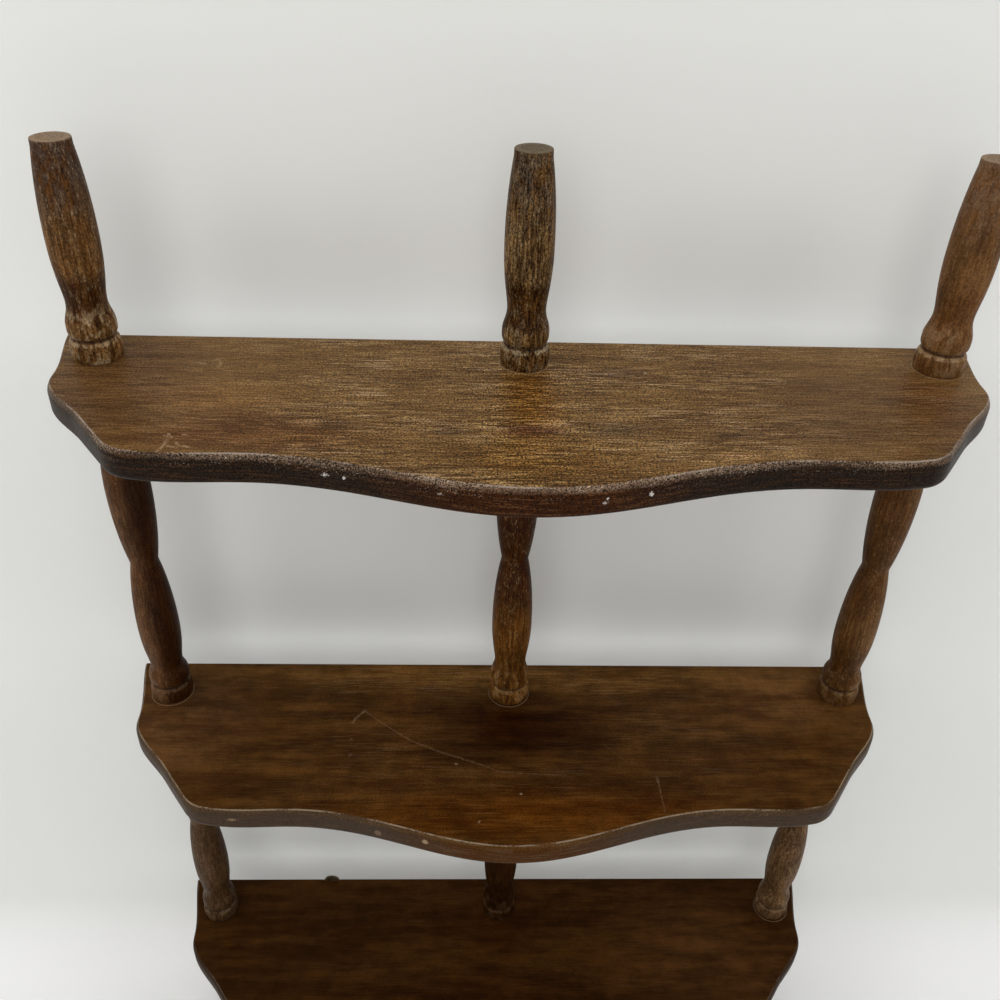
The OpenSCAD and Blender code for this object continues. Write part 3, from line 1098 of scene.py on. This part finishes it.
# Painted shade: the bottom board has the same stain painted darker still, for the shade under the two
# shelves above.
BOTTOM_BOARD_WITH_PAINTED_SHADE = BoardFinish(
    level=Level.BOTTOM, seed=41.0, deep=(0.028, 0.0100, 0.0020), mid=(0.058, 0.0220, 0.0046),
    pale=(0.105, 0.052, 0.015), edge=(0.028, 0.014, 0.007), edge_centre=(0.030, 0.013, 0.005),
    edge_streak=(0.045, 0.024, 0.012), edge_sheen_and_wear=(0.070, 0.045, 0.030), edge_salt=(0.140, 0.105, 0.080),
    worn=0.3, salt=0.2, flecks=0.15, threads=0.10, pores=0.30, mottle=1.2, crisp=0.25, heart=0.0,
    gloss=0.02,
    scratches=(
        Scratch(((-75, -39.5), (-62, -39.5)), 0.8, 0.4),
        Scratch(((-150, -20), (-130, -20)), 0.8, 0.25),
    ),
    # Of these patches, the dark one in front of the centre spindle is painted shade and the lighter bluish
    # one at the right is a painted reflection of the pale wall; the one towards the front left makes the
    # board darker there.
    patches=(
        ToneAndLightPatch((0, -45), (60, 34), (0.85, 0.75, 0.70)),
        ToneAndLightPatch((-20, -110), (120, 34), (0.72, 0.62, 0.60)),
        ToneAndLightPatch((170, -80), (90, 90), (1.45, 1.55, 2.00)),
    ),
    rings=((230.0, 0.8),),
)

TURNED_WOOD: dict[str, TurnedFinish] = {
    "top_left_finial": TurnedFinish(
        tone=(0.128, 0.057, 0.015), pale=(0.330, 0.240, 0.135), veil=(0.062, 0.044, 0.034), veiled=0.65,
        dashes=0.42, pores=0.40, rubs=0.65, lips=0.75, bead=1.18, neck=0.44, far=0.52,
    ),
    "top_centre_finial": TurnedFinish(
        tone=(0.150, 0.082, 0.028), pale=(0.270, 0.205, 0.120), veil=(0.074, 0.056, 0.038),
        cut_tints=((0.045, 0.033, 0.020), (0.165, 0.125, 0.080)), veiled=0.65, lips=0.65, streaks=0.80,
        dashes=0.45, pores=1.0, bead=0.82, collar=0.70, neck=0.38, far=0.55, dusty=3.8,
    ),
    "top_right_finial": TurnedFinish(
        tone=(0.138, 0.063, 0.020), lips=0.85, pale=(0.280, 0.180, 0.095), veil=(0.135, 0.092, 0.064),
        veiled=0.45, clouds=1.1, streaks=0.28, dashes=0.22, pores=0.22, rubs=0.35, bead=1.14,
        collar=0.80, neck=0.75, far=0.85, dusty=1.7,
    ),
    # Painted shade: its inner side is painted darker, away from the light that comes in past the open end.
    "upper_left_spindle": TurnedFinish(
        tone=(0.092, 0.039, 0.0128), pale=(0.190, 0.120, 0.065), painted_shade_side=(1.0, 0.33), rubs=0.22,
        lips=0.25, streaks=0.45, dashes=0.30, dusty=1.8, bead=1.10, collar=1.05, neck=0.95, far=1.0,
    ),
    # Painted shade: its upper part is painted much darker, for the shade under the top shelf.
    "upper_centre_spindle": TurnedFinish(
        tone=(0.120, 0.045, 0.0072), pale=(0.260, 0.155, 0.065), dashes=0.50, rubs=0.60, bead=1.10,
        collar=1.10, neck=0.85, far=0.32, dusty=2.0,
    ),
    # Painted shade: its inner side is painted darker, away from the light that comes in past the open end.
    "upper_right_spindle": TurnedFinish(
        tone=(0.126, 0.058, 0.017), painted_shade_side=(-1.0, 0.82), rubs=0.22, lips=0.25, clouds=0.8,
        streaks=0.35, dashes=0.30, bead=0.90, collar=0.90, neck=0.64, far=0.75, dusty=1.5,
    ),
    "lower_left_spindle": TurnedFinish(
        tone=(0.070, 0.036, 0.015), pale=(0.200, 0.140, 0.080), rubs=0.16, lips=0.20, streaks=0.40,
        dashes=0.20, bead=0.90, neck=0.75, dusty=2.0,
    ),
    # Painted shade: this spindle's tone is painted very dark, for the shade under the middle shelf.
    "lower_centre_spindle": TurnedFinish(
        tone=(0.026, 0.009, 0.0018), pale=(0.090, 0.045, 0.018), streaks=0.40, dashes=0.25, bead=1.0,
        gloss=0.03, dusty=1.6,
    ),
    "lower_right_spindle": TurnedFinish(
        tone=(0.105, 0.054, 0.022), rubs=0.18, lips=0.20, streaks=0.45, pores=0.50, bead=1.05, neck=0.9,
        dusty=2.0,
    ),
}
HANGING_WOOD = TurnedFinish(tone=(0.095, 0.048, 0.018))


# Sub-assemblies


@dataclass
class Shelf:
    """A bow-fronted board with waisted ends, crisp arrises and an eased edge."""

    width: float = 514.0
    thickness: float = BOARD
    end_depth: float = 127.0
    bow_out: float = 26.0
    bow_width: float = 264.0
    end_waist: float = 9.0
    shoulder: float = 51.0
    slant_in: float = 36.0
    slant: float = 92.5
    corner_in: float = 59.5
    corner_back: float = 3.8
    corner_runs: Point = (8.0, 7.5)
    corner_headings: Point = (-128.0, -166.0)
    rear_heading: float = -98.0
    slant_heading: float = -127.0
    upper_ease: Point = (1.8, 5.0)
    lower_ease: Point = (1.2, 3.0)
    ease_steps: int = 5
    arris: float = 0.35
    rims: Point = (0.5, 3.5)
    hole_d: float = 6.6
    hole_sides: int = 32
    overcut: float = 1.0
    model: bpy.types.Object | None = field(default=None, repr=False)

    def half_outline(self) -> list[Point]:
        """The right half of the outline, from the rear corner to the bow's middle.

        Returns:
            The outline's points, without the one on the centre line.
        """
        half = self.width / 2
        corner = (half - self.corner_in, self.corner_back - self.end_depth)
        into, out = self.corner_headings
        rear = Station(half, 0, self.rear_heading)
        shoulder = Station(half - self.end_waist, -self.shoulder, -90)
        slant = Station(half - self.slant_in, -self.slant, self.slant_heading)
        start = Station(*Station(*corner, into).ahead(-self.corner_runs[0]), into)
        end = Station(*Station(*corner, out).ahead(self.corner_runs[1]), out)
        straight = Station(self.bow_width / 2, -self.end_depth, -178)
        bow = Station(0, -self.end_depth - self.bow_out, -180)
        return joined(
            (rear, shoulder, 8),
            (shoulder, slant, 14),
            (slant, start, 4),
            (start, end, 9),
            (end, straight, 6),
            (straight, bow, 22, 0.39, 0.35),
        )

    def outline(self) -> list[Point]:
        """The whole outline, from the right rear corner round to the left one."""
        half = self.half_outline()
        return [*half, (0.0, -self.end_depth - self.bow_out), *((-x, y) for x, y in reversed(half))]

    def ease(self, thing: bpy.types.Object, upwards: bool) -> None:
        """Draws a flat face in, step by step, to ease the edge round it.

        Args:
            thing: the board in edit mode.
            upwards: whether the upper or the lower edge is eased.
        """
        inward, rise = self.upper_ease if upwards else self.lower_ease
        lean = math.tan(math.radians(-90 - self.rear_heading))
        sign = 1 if upwards else -1

        def faces_up(_centre: Vector, normal: Vector) -> bool:
            """Whether a face lies flat on the eased side."""
            return normal.z * sign > 0.99

        for step in range(1, self.ease_steps + 1):
            pick(thing, "FACE", faces_up)
            before, after = ((n / self.ease_steps) ** 2 * inward for n in (step - 1, step))
            thick = (after - before) * MM
            bpy.ops.mesh.inset(thickness=thick, depth=rise / self.ease_steps * MM, use_even_offset=True)
            pick(thing, "FACE", faces_up)
            mesh = bmesh.from_edit_mesh(thing.data)
            flat = next(f for f in mesh.faces if f.select)
            for vert in flat.verts:
                if vert.co.y > -thick * 1.01:
                    vert.co += Vector((math.copysign(lean * thick, vert.co.x), -vert.co.y, 0))
            bmesh.update_edit_mesh(thing.data)

    def build(self) -> bpy.types.Object:
        """Models the board round the height zero.

        Returns:
            The board that the three shelves are copied from.
        """
        half = self.thickness / 2
        low, high = self.lower_ease[1] - half, half - self.upper_ease[1]
        board = slab("board", [(x, y, low) for x, y in self.outline()], (0, 0, high - low))
        with editing(board):
            for upwards in (True, False):
                self.ease(board, upwards)
            for sign in (1, -1):
                self.round_arris(board, sign)
        self.model = board
        return board

    def round_arris(self, board: bpy.types.Object, sign: int) -> None:
        """Breaks an arris, and lays two loops inside it on the flat face.

        Args:
            board: the board in edit mode.
            sign: 1 for the upper arris and -1 for the lower one.
        """
        level = sign * self.thickness / 2 * MM

        def is_flat(centre: Vector, normal: Vector) -> bool:
            """Whether a face is the large flat one, and not a rim laid round it."""
            near_middle = abs(centre.x) < 0.01 and -0.12 < centre.y < -0.03
            return abs(centre.z - level) < 1e-6 and normal.z * sign > 0.999 and near_middle

        pick(board, "EDGE", lambda a, b: abs(a.z - level) < 1e-6 and abs(b.z - level) < 1e-6)
        bpy.ops.mesh.bevel(offset=self.arris * MM, segments=2, profile=0.5)
        for inward in self.rims:
            pick(board, "FACE", is_flat)
            bpy.ops.mesh.inset(thickness=inward * MM, depth=0, use_even_offset=True)

    def drill(self, board: bpy.types.Object, height: float) -> None:
        """Drills a board for the joining screws.

        Args:
            board: the board.
            height: the height of its middle.
        """
        length = self.thickness + 2 * self.overcut
        for side in Side:
            place = (side.value, -SPINDLE_IN, height)
            cut(board, rod(self.hole_d / 2, length, place, self.hole_sides, lying=False))

    def mark_margin(self, board: bpy.types.Object) -> None:
        """Stores how far each point of the flat faces lies in from the arris.

        The attribute is 0 on the arris, and grows up to the width of both rims.

        Args:
            board: the board, with its holes cut.
        """
        board.data.update()
        values = [0.0] * len(board.data.vertices)
        edge = [Vector(p) for p in self.outline()]
        middle = sum(v.co.z for v in board.data.vertices) / len(values)
        widest = sum(self.rims)
        for vert in board.data.vertices:
            if abs(abs(vert.co.z - middle) - self.thickness / 2 * MM) < 0.4 * MM:
                place = Vector((vert.co.x, vert.co.y)) / MM
                near = min(self.off_line(place, a, b) for a, b in zip(edge, edge[1:]))
                values[vert.index] = min(max(near - self.upper_ease[0], 0.0), widest) / MARGIN_SCALE
        attribute = board.data.attributes.new("margin", "FLOAT", "POINT")
        attribute.data.foreach_set("value", values)

    @staticmethod
    def off_line(place: Vector, a: Vector, b: Vector) -> float:
        """How far a place lies from the line between two others.

        Args:
            place: the place.
            a: one end of the line.
            b: its other end.

        Returns:
            The distance, in the places' own unit.
        """
        arm, line = place - a, b - a
        share = min(max(arm.dot(line) / line.length_squared, 0.0), 1.0)
        return (arm - line * share).length

    def place_one(self, finish: BoardFinish, seats: Sequence["PlateSeat"]) -> bpy.types.Object:
        """Copies the board to its level, cuts it out for its plates and dresses it.

        Args:
            finish: the board's own finish, which knows its level.
            seats: where eye plates are let into its rear edge.

        Returns:
            The finished board.
        """
        name = f"{finish.level.name.lower()}_shelf"
        board = copy_of(self.model, f"{name}_board", (0, 0, finish.level.value))
        self.drill(board, finish.level.value)
        for seat in seats:
            for cutter in seat.cutters():
                cut(board, cutter)
        self.mark_margin(board)
        smooth(board, 36)
        coat(board, finish.material())
        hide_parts(name)
        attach(board, "root")
        return board


@dataclass
class TurnedLine:
    """The turned pieces: full spindles between shelves and half ones at the ends."""

    length: float = SPINDLE_LONG
    cut_loss: float = 4.0
    collar_d: float = 26.8
    collar_h: float = 12.0
    collar_swell: float = 0.9
    collar_break: float = 0.6
    collar_round: float = 2.0
    groove_d: float = 22.4
    groove_rise: float = 0.9
    groove_h: float = 0.4
    bead: Point = (25.6, 19.6)
    neck: Point = (20.7, 31.7)
    vase: Point = (25.9, 65.0)
    waist_d: float = 16.6
    low_turning: float = 5.0
    rim: float = 0.6
    pilot: Point = (6.2, 22.0)

    def half_profile(self, drop: float = 0.0) -> list[Point]:
        """Radius and height of half a spindle, from its seat up to the waist.

        Args:
            drop: how much nearer to the seat the swelling and the waist lie.

        Returns:
            The points, without the one at the waist.
        """
        end = (self.collar_d - self.collar_swell) / 2
        foot = Station(end, self.collar_break, 75)
        brow = Station(end, self.collar_h - self.collar_round, 105)
        groove = Station(self.groove_d / 2, self.collar_h + self.groove_rise, 90)
        bead_foot = Station(self.groove_d / 2, self.collar_h + self.groove_rise + self.groove_h, 18)
        bead = Station(self.bead[0] / 2, self.bead[1], 90)
        neck = Station(self.neck[0] / 2, self.neck[1] - 0.6 * drop, 90)
        vase = Station(self.vase[0] / 2, self.vase[1] - drop, 90)
        waist = Station(self.waist_d / 2, self.length / 2 - drop, 101)
        rise = joined(
            (foot, brow, 8),
            (brow, groove, 7),
            (groove, bead_foot, 2),
            (bead_foot, bead, 10, 0.3, 0.42),
            (bead, neck, 10, 0.3, 0.4),
            (neck, vase, 14, 0.2, 0.57),
            (vase, waist, 14, 0.3, 0.36),
        )
        soft = self.collar_break
        return [(end - soft, 0.0), (end - soft * 0.3, soft * 0.25), *rise]

    def bore(self) -> list[Point]:
        """The pilot hole's wall, from its bottom out to the seat."""
        radius, depth = self.pilot[0] / 2, self.pilot[1]
        return [(0.0, depth), (radius, depth), (radius, 0.0)]

    def full(self, drop: float = 0.0) -> bpy.types.Object:
        """Turns a full spindle that stands on height zero.

        Args:
            drop: how far its turning is moved down.

        Returns:
            The spindle.
        """
        lower = self.bore() + self.half_profile(drop)
        above = self.bore() + self.half_profile(-drop)
        upper = [(radius, self.length - height) for radius, height in reversed(above)]
        return turned("spindle", [*lower, (self.waist_d / 2, self.length / 2 - drop), *upper])

    def half(self, upright: bool) -> bpy.types.Object:
        """Turns a half spindle, cut off square just short of its waist.

        Args:
            upright: whether it stands on height zero or hangs from it.

        Returns:
            The turned half spindle.
        """
        top, rim = self.length / 2 - self.cut_loss, self.rim
        kept = [p for p in self.half_profile() if p[1] < top - 2 * rim]
        radius = kept[-1][0] - 0.1
        crown = [
            (radius, top - rim),
            (radius - 0.3 * rim, top - 0.3 * rim),
            (radius - rim, top),
            (radius * 0.5, top),
            (0.0, top),
        ]
        sign = 1 if upright else -1
        profile = [(r, sign * h) for r, h in [*self.bore(), *kept, *crown]]
        return turned("finial" if upright else "drop", profile)

    def dress(
        self, model: bpy.types.Object, node: str, place: Place, finish: TurnedFinish
    ) -> bpy.types.Object:
        """Copies a turned model to its place and gives it its finish.

        Args:
            model: the turned model.
            node: the CAD node that it stands for.
            place: the centre of its seat.
            finish: its own finish.

        Returns:
            The finished piece.
        """
        piece = copy_of(model, f"{node}_turned", place)
        smooth(piece, 40)
        coat(piece, finish.material())
        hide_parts(node)
        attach(piece, "root")
        return piece


@dataclass(frozen=True)
class PlateSeat:
    """Where an eye plate is let into a rear edge, and which way it is turned."""

    x: float
    z: float
    turn: float
    plate_w: float = 13.0
    plate_l: float = 18.4
    plate_t: float = 1.5
    eye_drop: float = 3.5
    play: float = 0.2
    pocket_d: float = 7.0
    pocket_depth: float = 7.0
    sides: int = 48
    overcut: float = 1.0

    @property
    def place(self) -> Place:
        """The centre of the eye, on the wall."""
        return (self.x, 0.0, self.z)

    def outline(self, play: float, steps: int = 24) -> list[Place]:
        """The plate's outline on the wall: round above and square below.

        Args:
            play: how much it is widened all round.
            steps: how many sides the round end has.

        Returns:
            The outline's places, round to the first one's neighbour.
        """
        radius = self.plate_w / 2 + play
        below = self.plate_l - self.plate_w / 2 - self.eye_drop + play
        angles = [math.pi * n / steps for n in range(steps + 1)]
        arc = [(radius * math.cos(a), 0.0, self.eye_drop + radius * math.sin(a)) for a in angles]
        return [*arc, (-radius, 0.0, -below), (radius, 0.0, -below)]

    def blank(self, name: str, play: float, start: float) -> bpy.types.Object:
        """A slab of the plate's outline, as thick as the plate.

        Args:
            name: the new object's name.
            play: how much the outline is widened.
            start: how far behind the rear edge the slab begins, on top of its thickness.

        Returns:
            The slab.
        """
        line = [(x, start, z) for x, _, z in self.outline(play)]
        return slab(name, line, (0, -(self.plate_t + start), 0))

    def cutters(self) -> list[bpy.types.Object]:
        """The shapes that the plate needs cut in the shelf behind it.

        Returns:
            The recess, and the pocket for the head of the wall nail.
        """
        over = self.overcut
        recess = self.blank("recess", self.play, over)
        put(recess, self.place, (self.turn, "Y"))
        middle = (self.x, (over - self.pocket_depth) / 2, self.z)
        return [recess, rod(self.pocket_d / 2, self.pocket_depth + over, middle, self.sides)]


@dataclass
class HangingHardware:
    """The eye plates, let in flush with the rear edges, and their nails."""

    eye_x: float = 142.0
    eye_d: float = 5.0
    plate_rise: float = 5.5
    nail_d: float = 1.8
    nail_head_d: float = 3.6
    nail_l: float = 16.0
    nail_drop: float = 5.2
    nail_aside: float = 3.2
    nail_dome: Point = (0.03, 0.12)
    edge_break: float = 0.25
    play: float = 0.1

    def seats(self) -> dict[str, PlateSeat]:
        """Where the three plates sit.

        Returns:
            Each plate's seat by the name of its CAD node.
        """
        low = PlateSeat(-self.eye_x, Level.BOTTOM.value + BOARD / 2 + self.plate_rise, 0)
        low = replace(low, z=low.z - low.plate_w / 2 - low.eye_drop)
        return {
            "left_eye_plate": PlateSeat(-self.eye_x, 0.0, -90),
            "right_eye_plate": PlateSeat(self.eye_x, 0.0, 90),
            "lower_eye_plate": low,
        }

    def plate(self) -> bpy.types.Object:
        """Models an eye plate with its round end up.

        Returns:
            The plate, with its face on the wall and its eye at the origin.
        """
        seat = PlateSeat(0, 0, 0)
        plate = seat.blank("eye_plate", 0.0, 0.0)
        with editing(plate):
            pick(plate, "EDGE", lambda a, b: a.y > -1e-6 and b.y > -1e-6)
            bpy.ops.mesh.bevel(offset=self.edge_break * MM, segments=2, profile=0.5)
        sunk = self.nail_head_d / 2 + self.play
        holes = [(self.eye_d / 2, 0.0, 0.0), *((sunk, x, -self.nail_drop) for x in self.nail_sides())]
        for radius, x, z in holes:
            cut(plate, rod(radius, 4 * seat.plate_t, (x, 0, z), seat.sides))
        close_seams(plate, 0.001)
        return plate

    def nail_sides(self) -> Point:
        """How far to either side of a plate's middle its nails are."""
        return -self.nail_aside, self.nail_aside

    def nails(self) -> bpy.types.Object:
        """Models the six countersunk nails, each with a slightly domed head.

        Returns:
            One object that holds the nails in their places.
        """
        head, shank = self.nail_head_d / 2, self.nail_d / 2
        near, rim = self.nail_dome
        profile = [
            (0.0, 0.0),
            (head * 0.6, -near),
            (head, -rim),
            (shank, -rim - (head - shank)),
            (shank, -self.nail_l + 1.5 * self.nail_d),
            (0.0, -self.nail_l),
        ]
        nail = turned("nail", profile, 24)
        put(nail, (0, 0, 0), (-90, "X"))
        made = []
        for name, seat in self.seats().items():
            turn = Matrix.Rotation(math.radians(seat.turn), 3, "Y")
            for x in self.nail_sides():
                place = turn @ Vector((x, 0.0, -self.nail_drop)) + Vector(seat.place)
                made.append(copy_of(nail, f"{name}_nail", tuple(place)))
        bpy.data.objects.remove(nail, do_unlink=True)
        bpy.ops.object.select_all(action="DESELECT")
        for one in made:
            one.select_set(True)
        bpy.context.view_layer.objects.active = made[0]
        bpy.ops.object.join()
        made[0].name = "plate_nails"
        smooth(made[0], 35)
        return made[0]

    def build(self) -> list[bpy.types.Object]:
        """Models the plates and nails, puts them in place and dresses them.

        Returns:
            The finished pieces.
        """
        model = self.plate()
        brass, steel = BRASS.material(), STEEL.material()
        pieces = []
        for node, seat in self.seats().items():
            piece = copy_of(model, f"{node}_brass", (0, 0, 0))
            put(piece, seat.place, (seat.turn, "Y"))
            smooth(piece, 32)
            coat(piece, brass)
            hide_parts(node)
            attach(piece, "root")
            pieces.append(piece)
        bpy.data.objects.remove(model, do_unlink=True)
        nails = self.nails()
        coat(nails, steel)
        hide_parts("eye_plate_nails")
        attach(nails, "root")
        return [*pieces, nails]


@dataclass
class SpindleShelf:
    """The whole wall shelf."""

    shelf: Shelf = field(default_factory=Shelf)
    line: TurnedLine = field(default_factory=TurnedLine)
    hardware: HangingHardware = field(default_factory=HangingHardware)

    @staticmethod
    def turned_finish(node: str, place: Place, cut_at: float | None) -> TurnedFinish:
        """The finish of one turned piece: each differs as its wood does, and some also carry painted shade.

        Args:
            node: the CAD node's name.
            place: the centre of its seat, which its patterns are measured from.
            cut_at: the height of its cut end over the seat, if it has one.

        Returns:
            The finish, with a seed that comes from the letters of the node's name.
        """
        seed = 3.0 + 2.7 * (sum(ord(letter) for letter in node) % 29)
        wood = TURNED_WOOD.get(node, HANGING_WOOD)
        return replace(wood, name=f"{node}_wood", centre=place, seed=seed, cut_at=cut_at)

    def build_shelves(self) -> list[bpy.types.Object]:
        """Builds the three shelves.

        Returns:
            The boards, from the top down.
        """
        self.shelf.build()
        seats = self.hardware.seats()
        plans = (
            (TOP_BOARD, (seats["left_eye_plate"], seats["right_eye_plate"])),
            (MIDDLE_BOARD_WITH_PAINTED_SHADE, ()),
            (BOTTOM_BOARD_WITH_PAINTED_SHADE, (seats["lower_eye_plate"],)),
        )
        boards = [self.shelf.place_one(*plan) for plan in plans]
        bpy.data.objects.remove(self.shelf.model, do_unlink=True)
        return boards

    def build_spindles(self) -> list[bpy.types.Object]:
        """Turns the six spindles and the six half ones, and puts them in line.

        Returns:
            The turned pieces.
        """
        half = self.shelf.thickness / 2
        cut_at = self.line.length / 2 - self.line.cut_loss
        even, low = self.line.full(), self.line.full(self.line.low_turning)
        standing, hanging = self.line.half(True), self.line.half(False)
        rows = (
            ("upper_{}_spindle", Level.MIDDLE.value + half, None, (low, even, low)),
            ("lower_{}_spindle", Level.BOTTOM.value + half, None, (even, even, even)),
            ("top_{}_finial", Level.TOP.value + half, cut_at, (standing, standing, standing)),
            ("bottom_{}_finial", Level.BOTTOM.value - half, -cut_at, (hanging, hanging, hanging)),
        )
        pieces = []
        for pattern, height, cut_end, models in rows:
            for side, model in zip(Side, models):
                node = pattern.format(side.name.lower())
                place = (side.value, -SPINDLE_IN, height)
                finish = self.turned_finish(node, place, cut_end)
                pieces.append(self.line.dress(model, node, place, finish))
        for model in (even, low, standing, hanging):
            bpy.data.objects.remove(model, do_unlink=True)
        return pieces


@dataclass(frozen=True)
class Lamp:
    """A soft square lamp, placed in metres and as strong as its watts say."""

    name: str
    place: Place
    aim: Place
    size: float
    power: float


@dataclass
class Studio:
    """The plain room round the object: a pale sweep, soft lamps and the camera.

    The camera's focal length is in pixels of a frame, and its right, down and ahead
    are the directions that the photograph's view has in the part's frame.
    """

    wall_y: float = 34.0
    floor_z: float = -626.4
    room: float = 3.2
    fold: float = 60.0
    wall_tint: Tint = (0.90, 0.91, 0.89)
    floor_tint: Tint = (0.99, 0.99, 0.99)
    lamp_tint: Tint = (1.0, 0.985, 0.96)
    air_tint: Tint = (0.98, 0.99, 1.0)
    air: float = 0.27
    white: float = 0.64
    sensor: float = 36.0
    focal: float = 968.12
    frame: float = 1000
    eye: Place = (-30.78, -507.56, 242.5)
    right: Place = (0.999334, -0.022478, 0.028757)
    down: Place = (0.011193, -0.561175, -0.827622)
    ahead: Place = (0.034741, 0.827392, -0.560549)
    lamps: tuple[Lamp, ...] = (
        Lamp("overhead", (-0.10, -0.35, 1.50), (0.0, -0.08, 0.0), 1.0, 8.3),
        Lamp("front", (-0.3, -2.2, 1.0), (0.0, 0.0, -0.3), 1.8, 15.0),
        Lamp("left", (-2.0, -0.9, 1.2), (0.0, -0.05, -0.25), 1.2, 11.0),
        Lamp("right", (2.0, -0.9, 1.2), (0.0, -0.05, -0.25), 1.2, 11.0),
    )

    def sweep(self) -> bpy.types.Object:
        """Folds a pale sheet into floor and backdrop, open from behind.

        Returns:
            The sweep, which isn't part of the object.
        """
        bpy.ops.mesh.primitive_plane_add(size=2 * self.room)
        sweep = bpy.context.active_object
        sweep.name = "backdrop"
        back = self.wall_y * MM
        put(sweep, (0, (back - self.room) / MM, self.floor_z))
        with editing(sweep):
            pick(sweep, "EDGE", lambda a, b: a.y > back - 1e-4 and b.y > back - 1e-4)
            extrude((0, 0, self.room))
            low = self.floor_z * MM + 1e-4
            pick(sweep, "EDGE", lambda a, b: min(a.y, b.y) > back - 1e-4 and max(a.z, b.z) < low)
            bpy.ops.mesh.bevel(offset=self.fold * MM, segments=12, profile=0.5)
        smooth(sweep, 60)
        g = Paint("pale_sweep")
        tint = g.blend(g.band(g.z, self.floor_z, self.floor_z + self.fold), self.floor_tint, self.wall_tint)
        paint = g.node("ShaderNodeBsdfDiffuse", {}, {"Color": tint})
        behind = g.node("ShaderNodeNewGeometry", {}, {}, "Backfacing")
        clear = g.node("ShaderNodeBsdfTransparent", {}, {})
        g.end(g.node("ShaderNodeMixShader", {}, {0: behind, 1: paint, 2: clear}))
        sweep.data.materials.append(g.material)
        sweep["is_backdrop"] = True
        return sweep

    def hang(self, lamp: Lamp) -> bpy.types.Object:
        """Hangs a lamp and points it at its aim.

        Args:
            lamp: the lamp's place, aim, size and power.

        Returns:
            The lamp's object, which isn't part of the shelf.
        """
        data = bpy.data.lights.new(lamp.name, "AREA")
        data.size = lamp.size
        data.energy = lamp.power
        data.color = self.lamp_tint
        hung = bpy.data.objects.new(lamp.name, data)
        bpy.context.scene.collection.objects.link(hung)
        hung.location = lamp.place
        hung.rotation_euler = (Vector(lamp.aim) - Vector(lamp.place)).to_track_quat("-Z", "Y").to_euler()
        hung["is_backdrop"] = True
        return hung

    def surroundings(self) -> None:
        """Fills the room with plain light that looks white to the eye."""
        world = bpy.data.worlds.new("plain_air")
        bpy.context.scene.world = world
        world.use_nodes = True
        g = Graph(world.node_tree)
        path = g.node("ShaderNodeLightPath", {}, {}, "Is Camera Ray")
        seen = path.at_least(path.also("Is Glossy Ray")).at_least(path.also("Is Transmission Ray"))
        level = g.node("ShaderNodeMapRange", {}, {"Value": seen, "To Min": self.air, "To Max": self.white})
        glow = g.node("ShaderNodeBackground", {}, {"Color": self.air_tint, "Strength": level})
        g.end(glow, "ShaderNodeOutputWorld")

    def camera(self) -> bpy.types.Object:
        """Sets the camera up at the photograph's angle.

        Returns:
            The camera.
        """
        data = bpy.data.cameras.new("camera")
        data.sensor_fit = "HORIZONTAL"
        data.sensor_width = self.sensor
        data.lens = self.focal * self.sensor / self.frame
        data.clip_start = 0.02
        camera = bpy.data.objects.new("camera", data)
        bpy.context.scene.collection.objects.link(camera)
        turn = Matrix((Vector(self.right), -Vector(self.down), -Vector(self.ahead))).transposed()
        camera.matrix_world = Matrix.Translation(Vector(self.eye) * MM) @ turn.to_4x4()
        bpy.context.scene.camera = camera
        return camera

    def build(self) -> None:
        """Sets up the room, its light and the camera."""
        self.sweep()
        for lamp in self.lamps:
            self.hang(lamp)
        self.surroundings()
        self.camera()
        bpy.context.scene.view_settings.view_transform = "Standard"


def note_size(name: str, sizes: dict[str, list[list[float]]]) -> None:
    """Notes the shown object's lowest and highest corner under a name."""
    low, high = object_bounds()
    sizes[name] = [list(low), list(high)]


def main() -> None:
    """Builds the shelf's looks piece by piece, and the room round it."""
    logging.basicConfig(level=logging.INFO, format="%(name)s: %(message)s")
    for thing in list(bpy.context.scene.objects):
        bpy.data.objects.remove(thing, do_unlink=True)
    sizes: dict[str, list[list[float]]] = {}
    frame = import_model()
    note_size("solids", sizes)

    rack = SpindleShelf()
    for piece in (*rack.build_shelves(), *rack.build_spindles(), *rack.hardware.build()):
        LOG.info("%s: %d faces", piece.name, len(piece.data.polygons))
    screws = frame["nodes"]["joining_screws"]
    coat(screws, STEEL.material())
    LOG.info("%s: kept as packed", screws.name)

    Studio().build()
    note_size("dressed", sizes)


if __name__ == "__main__":
    main()
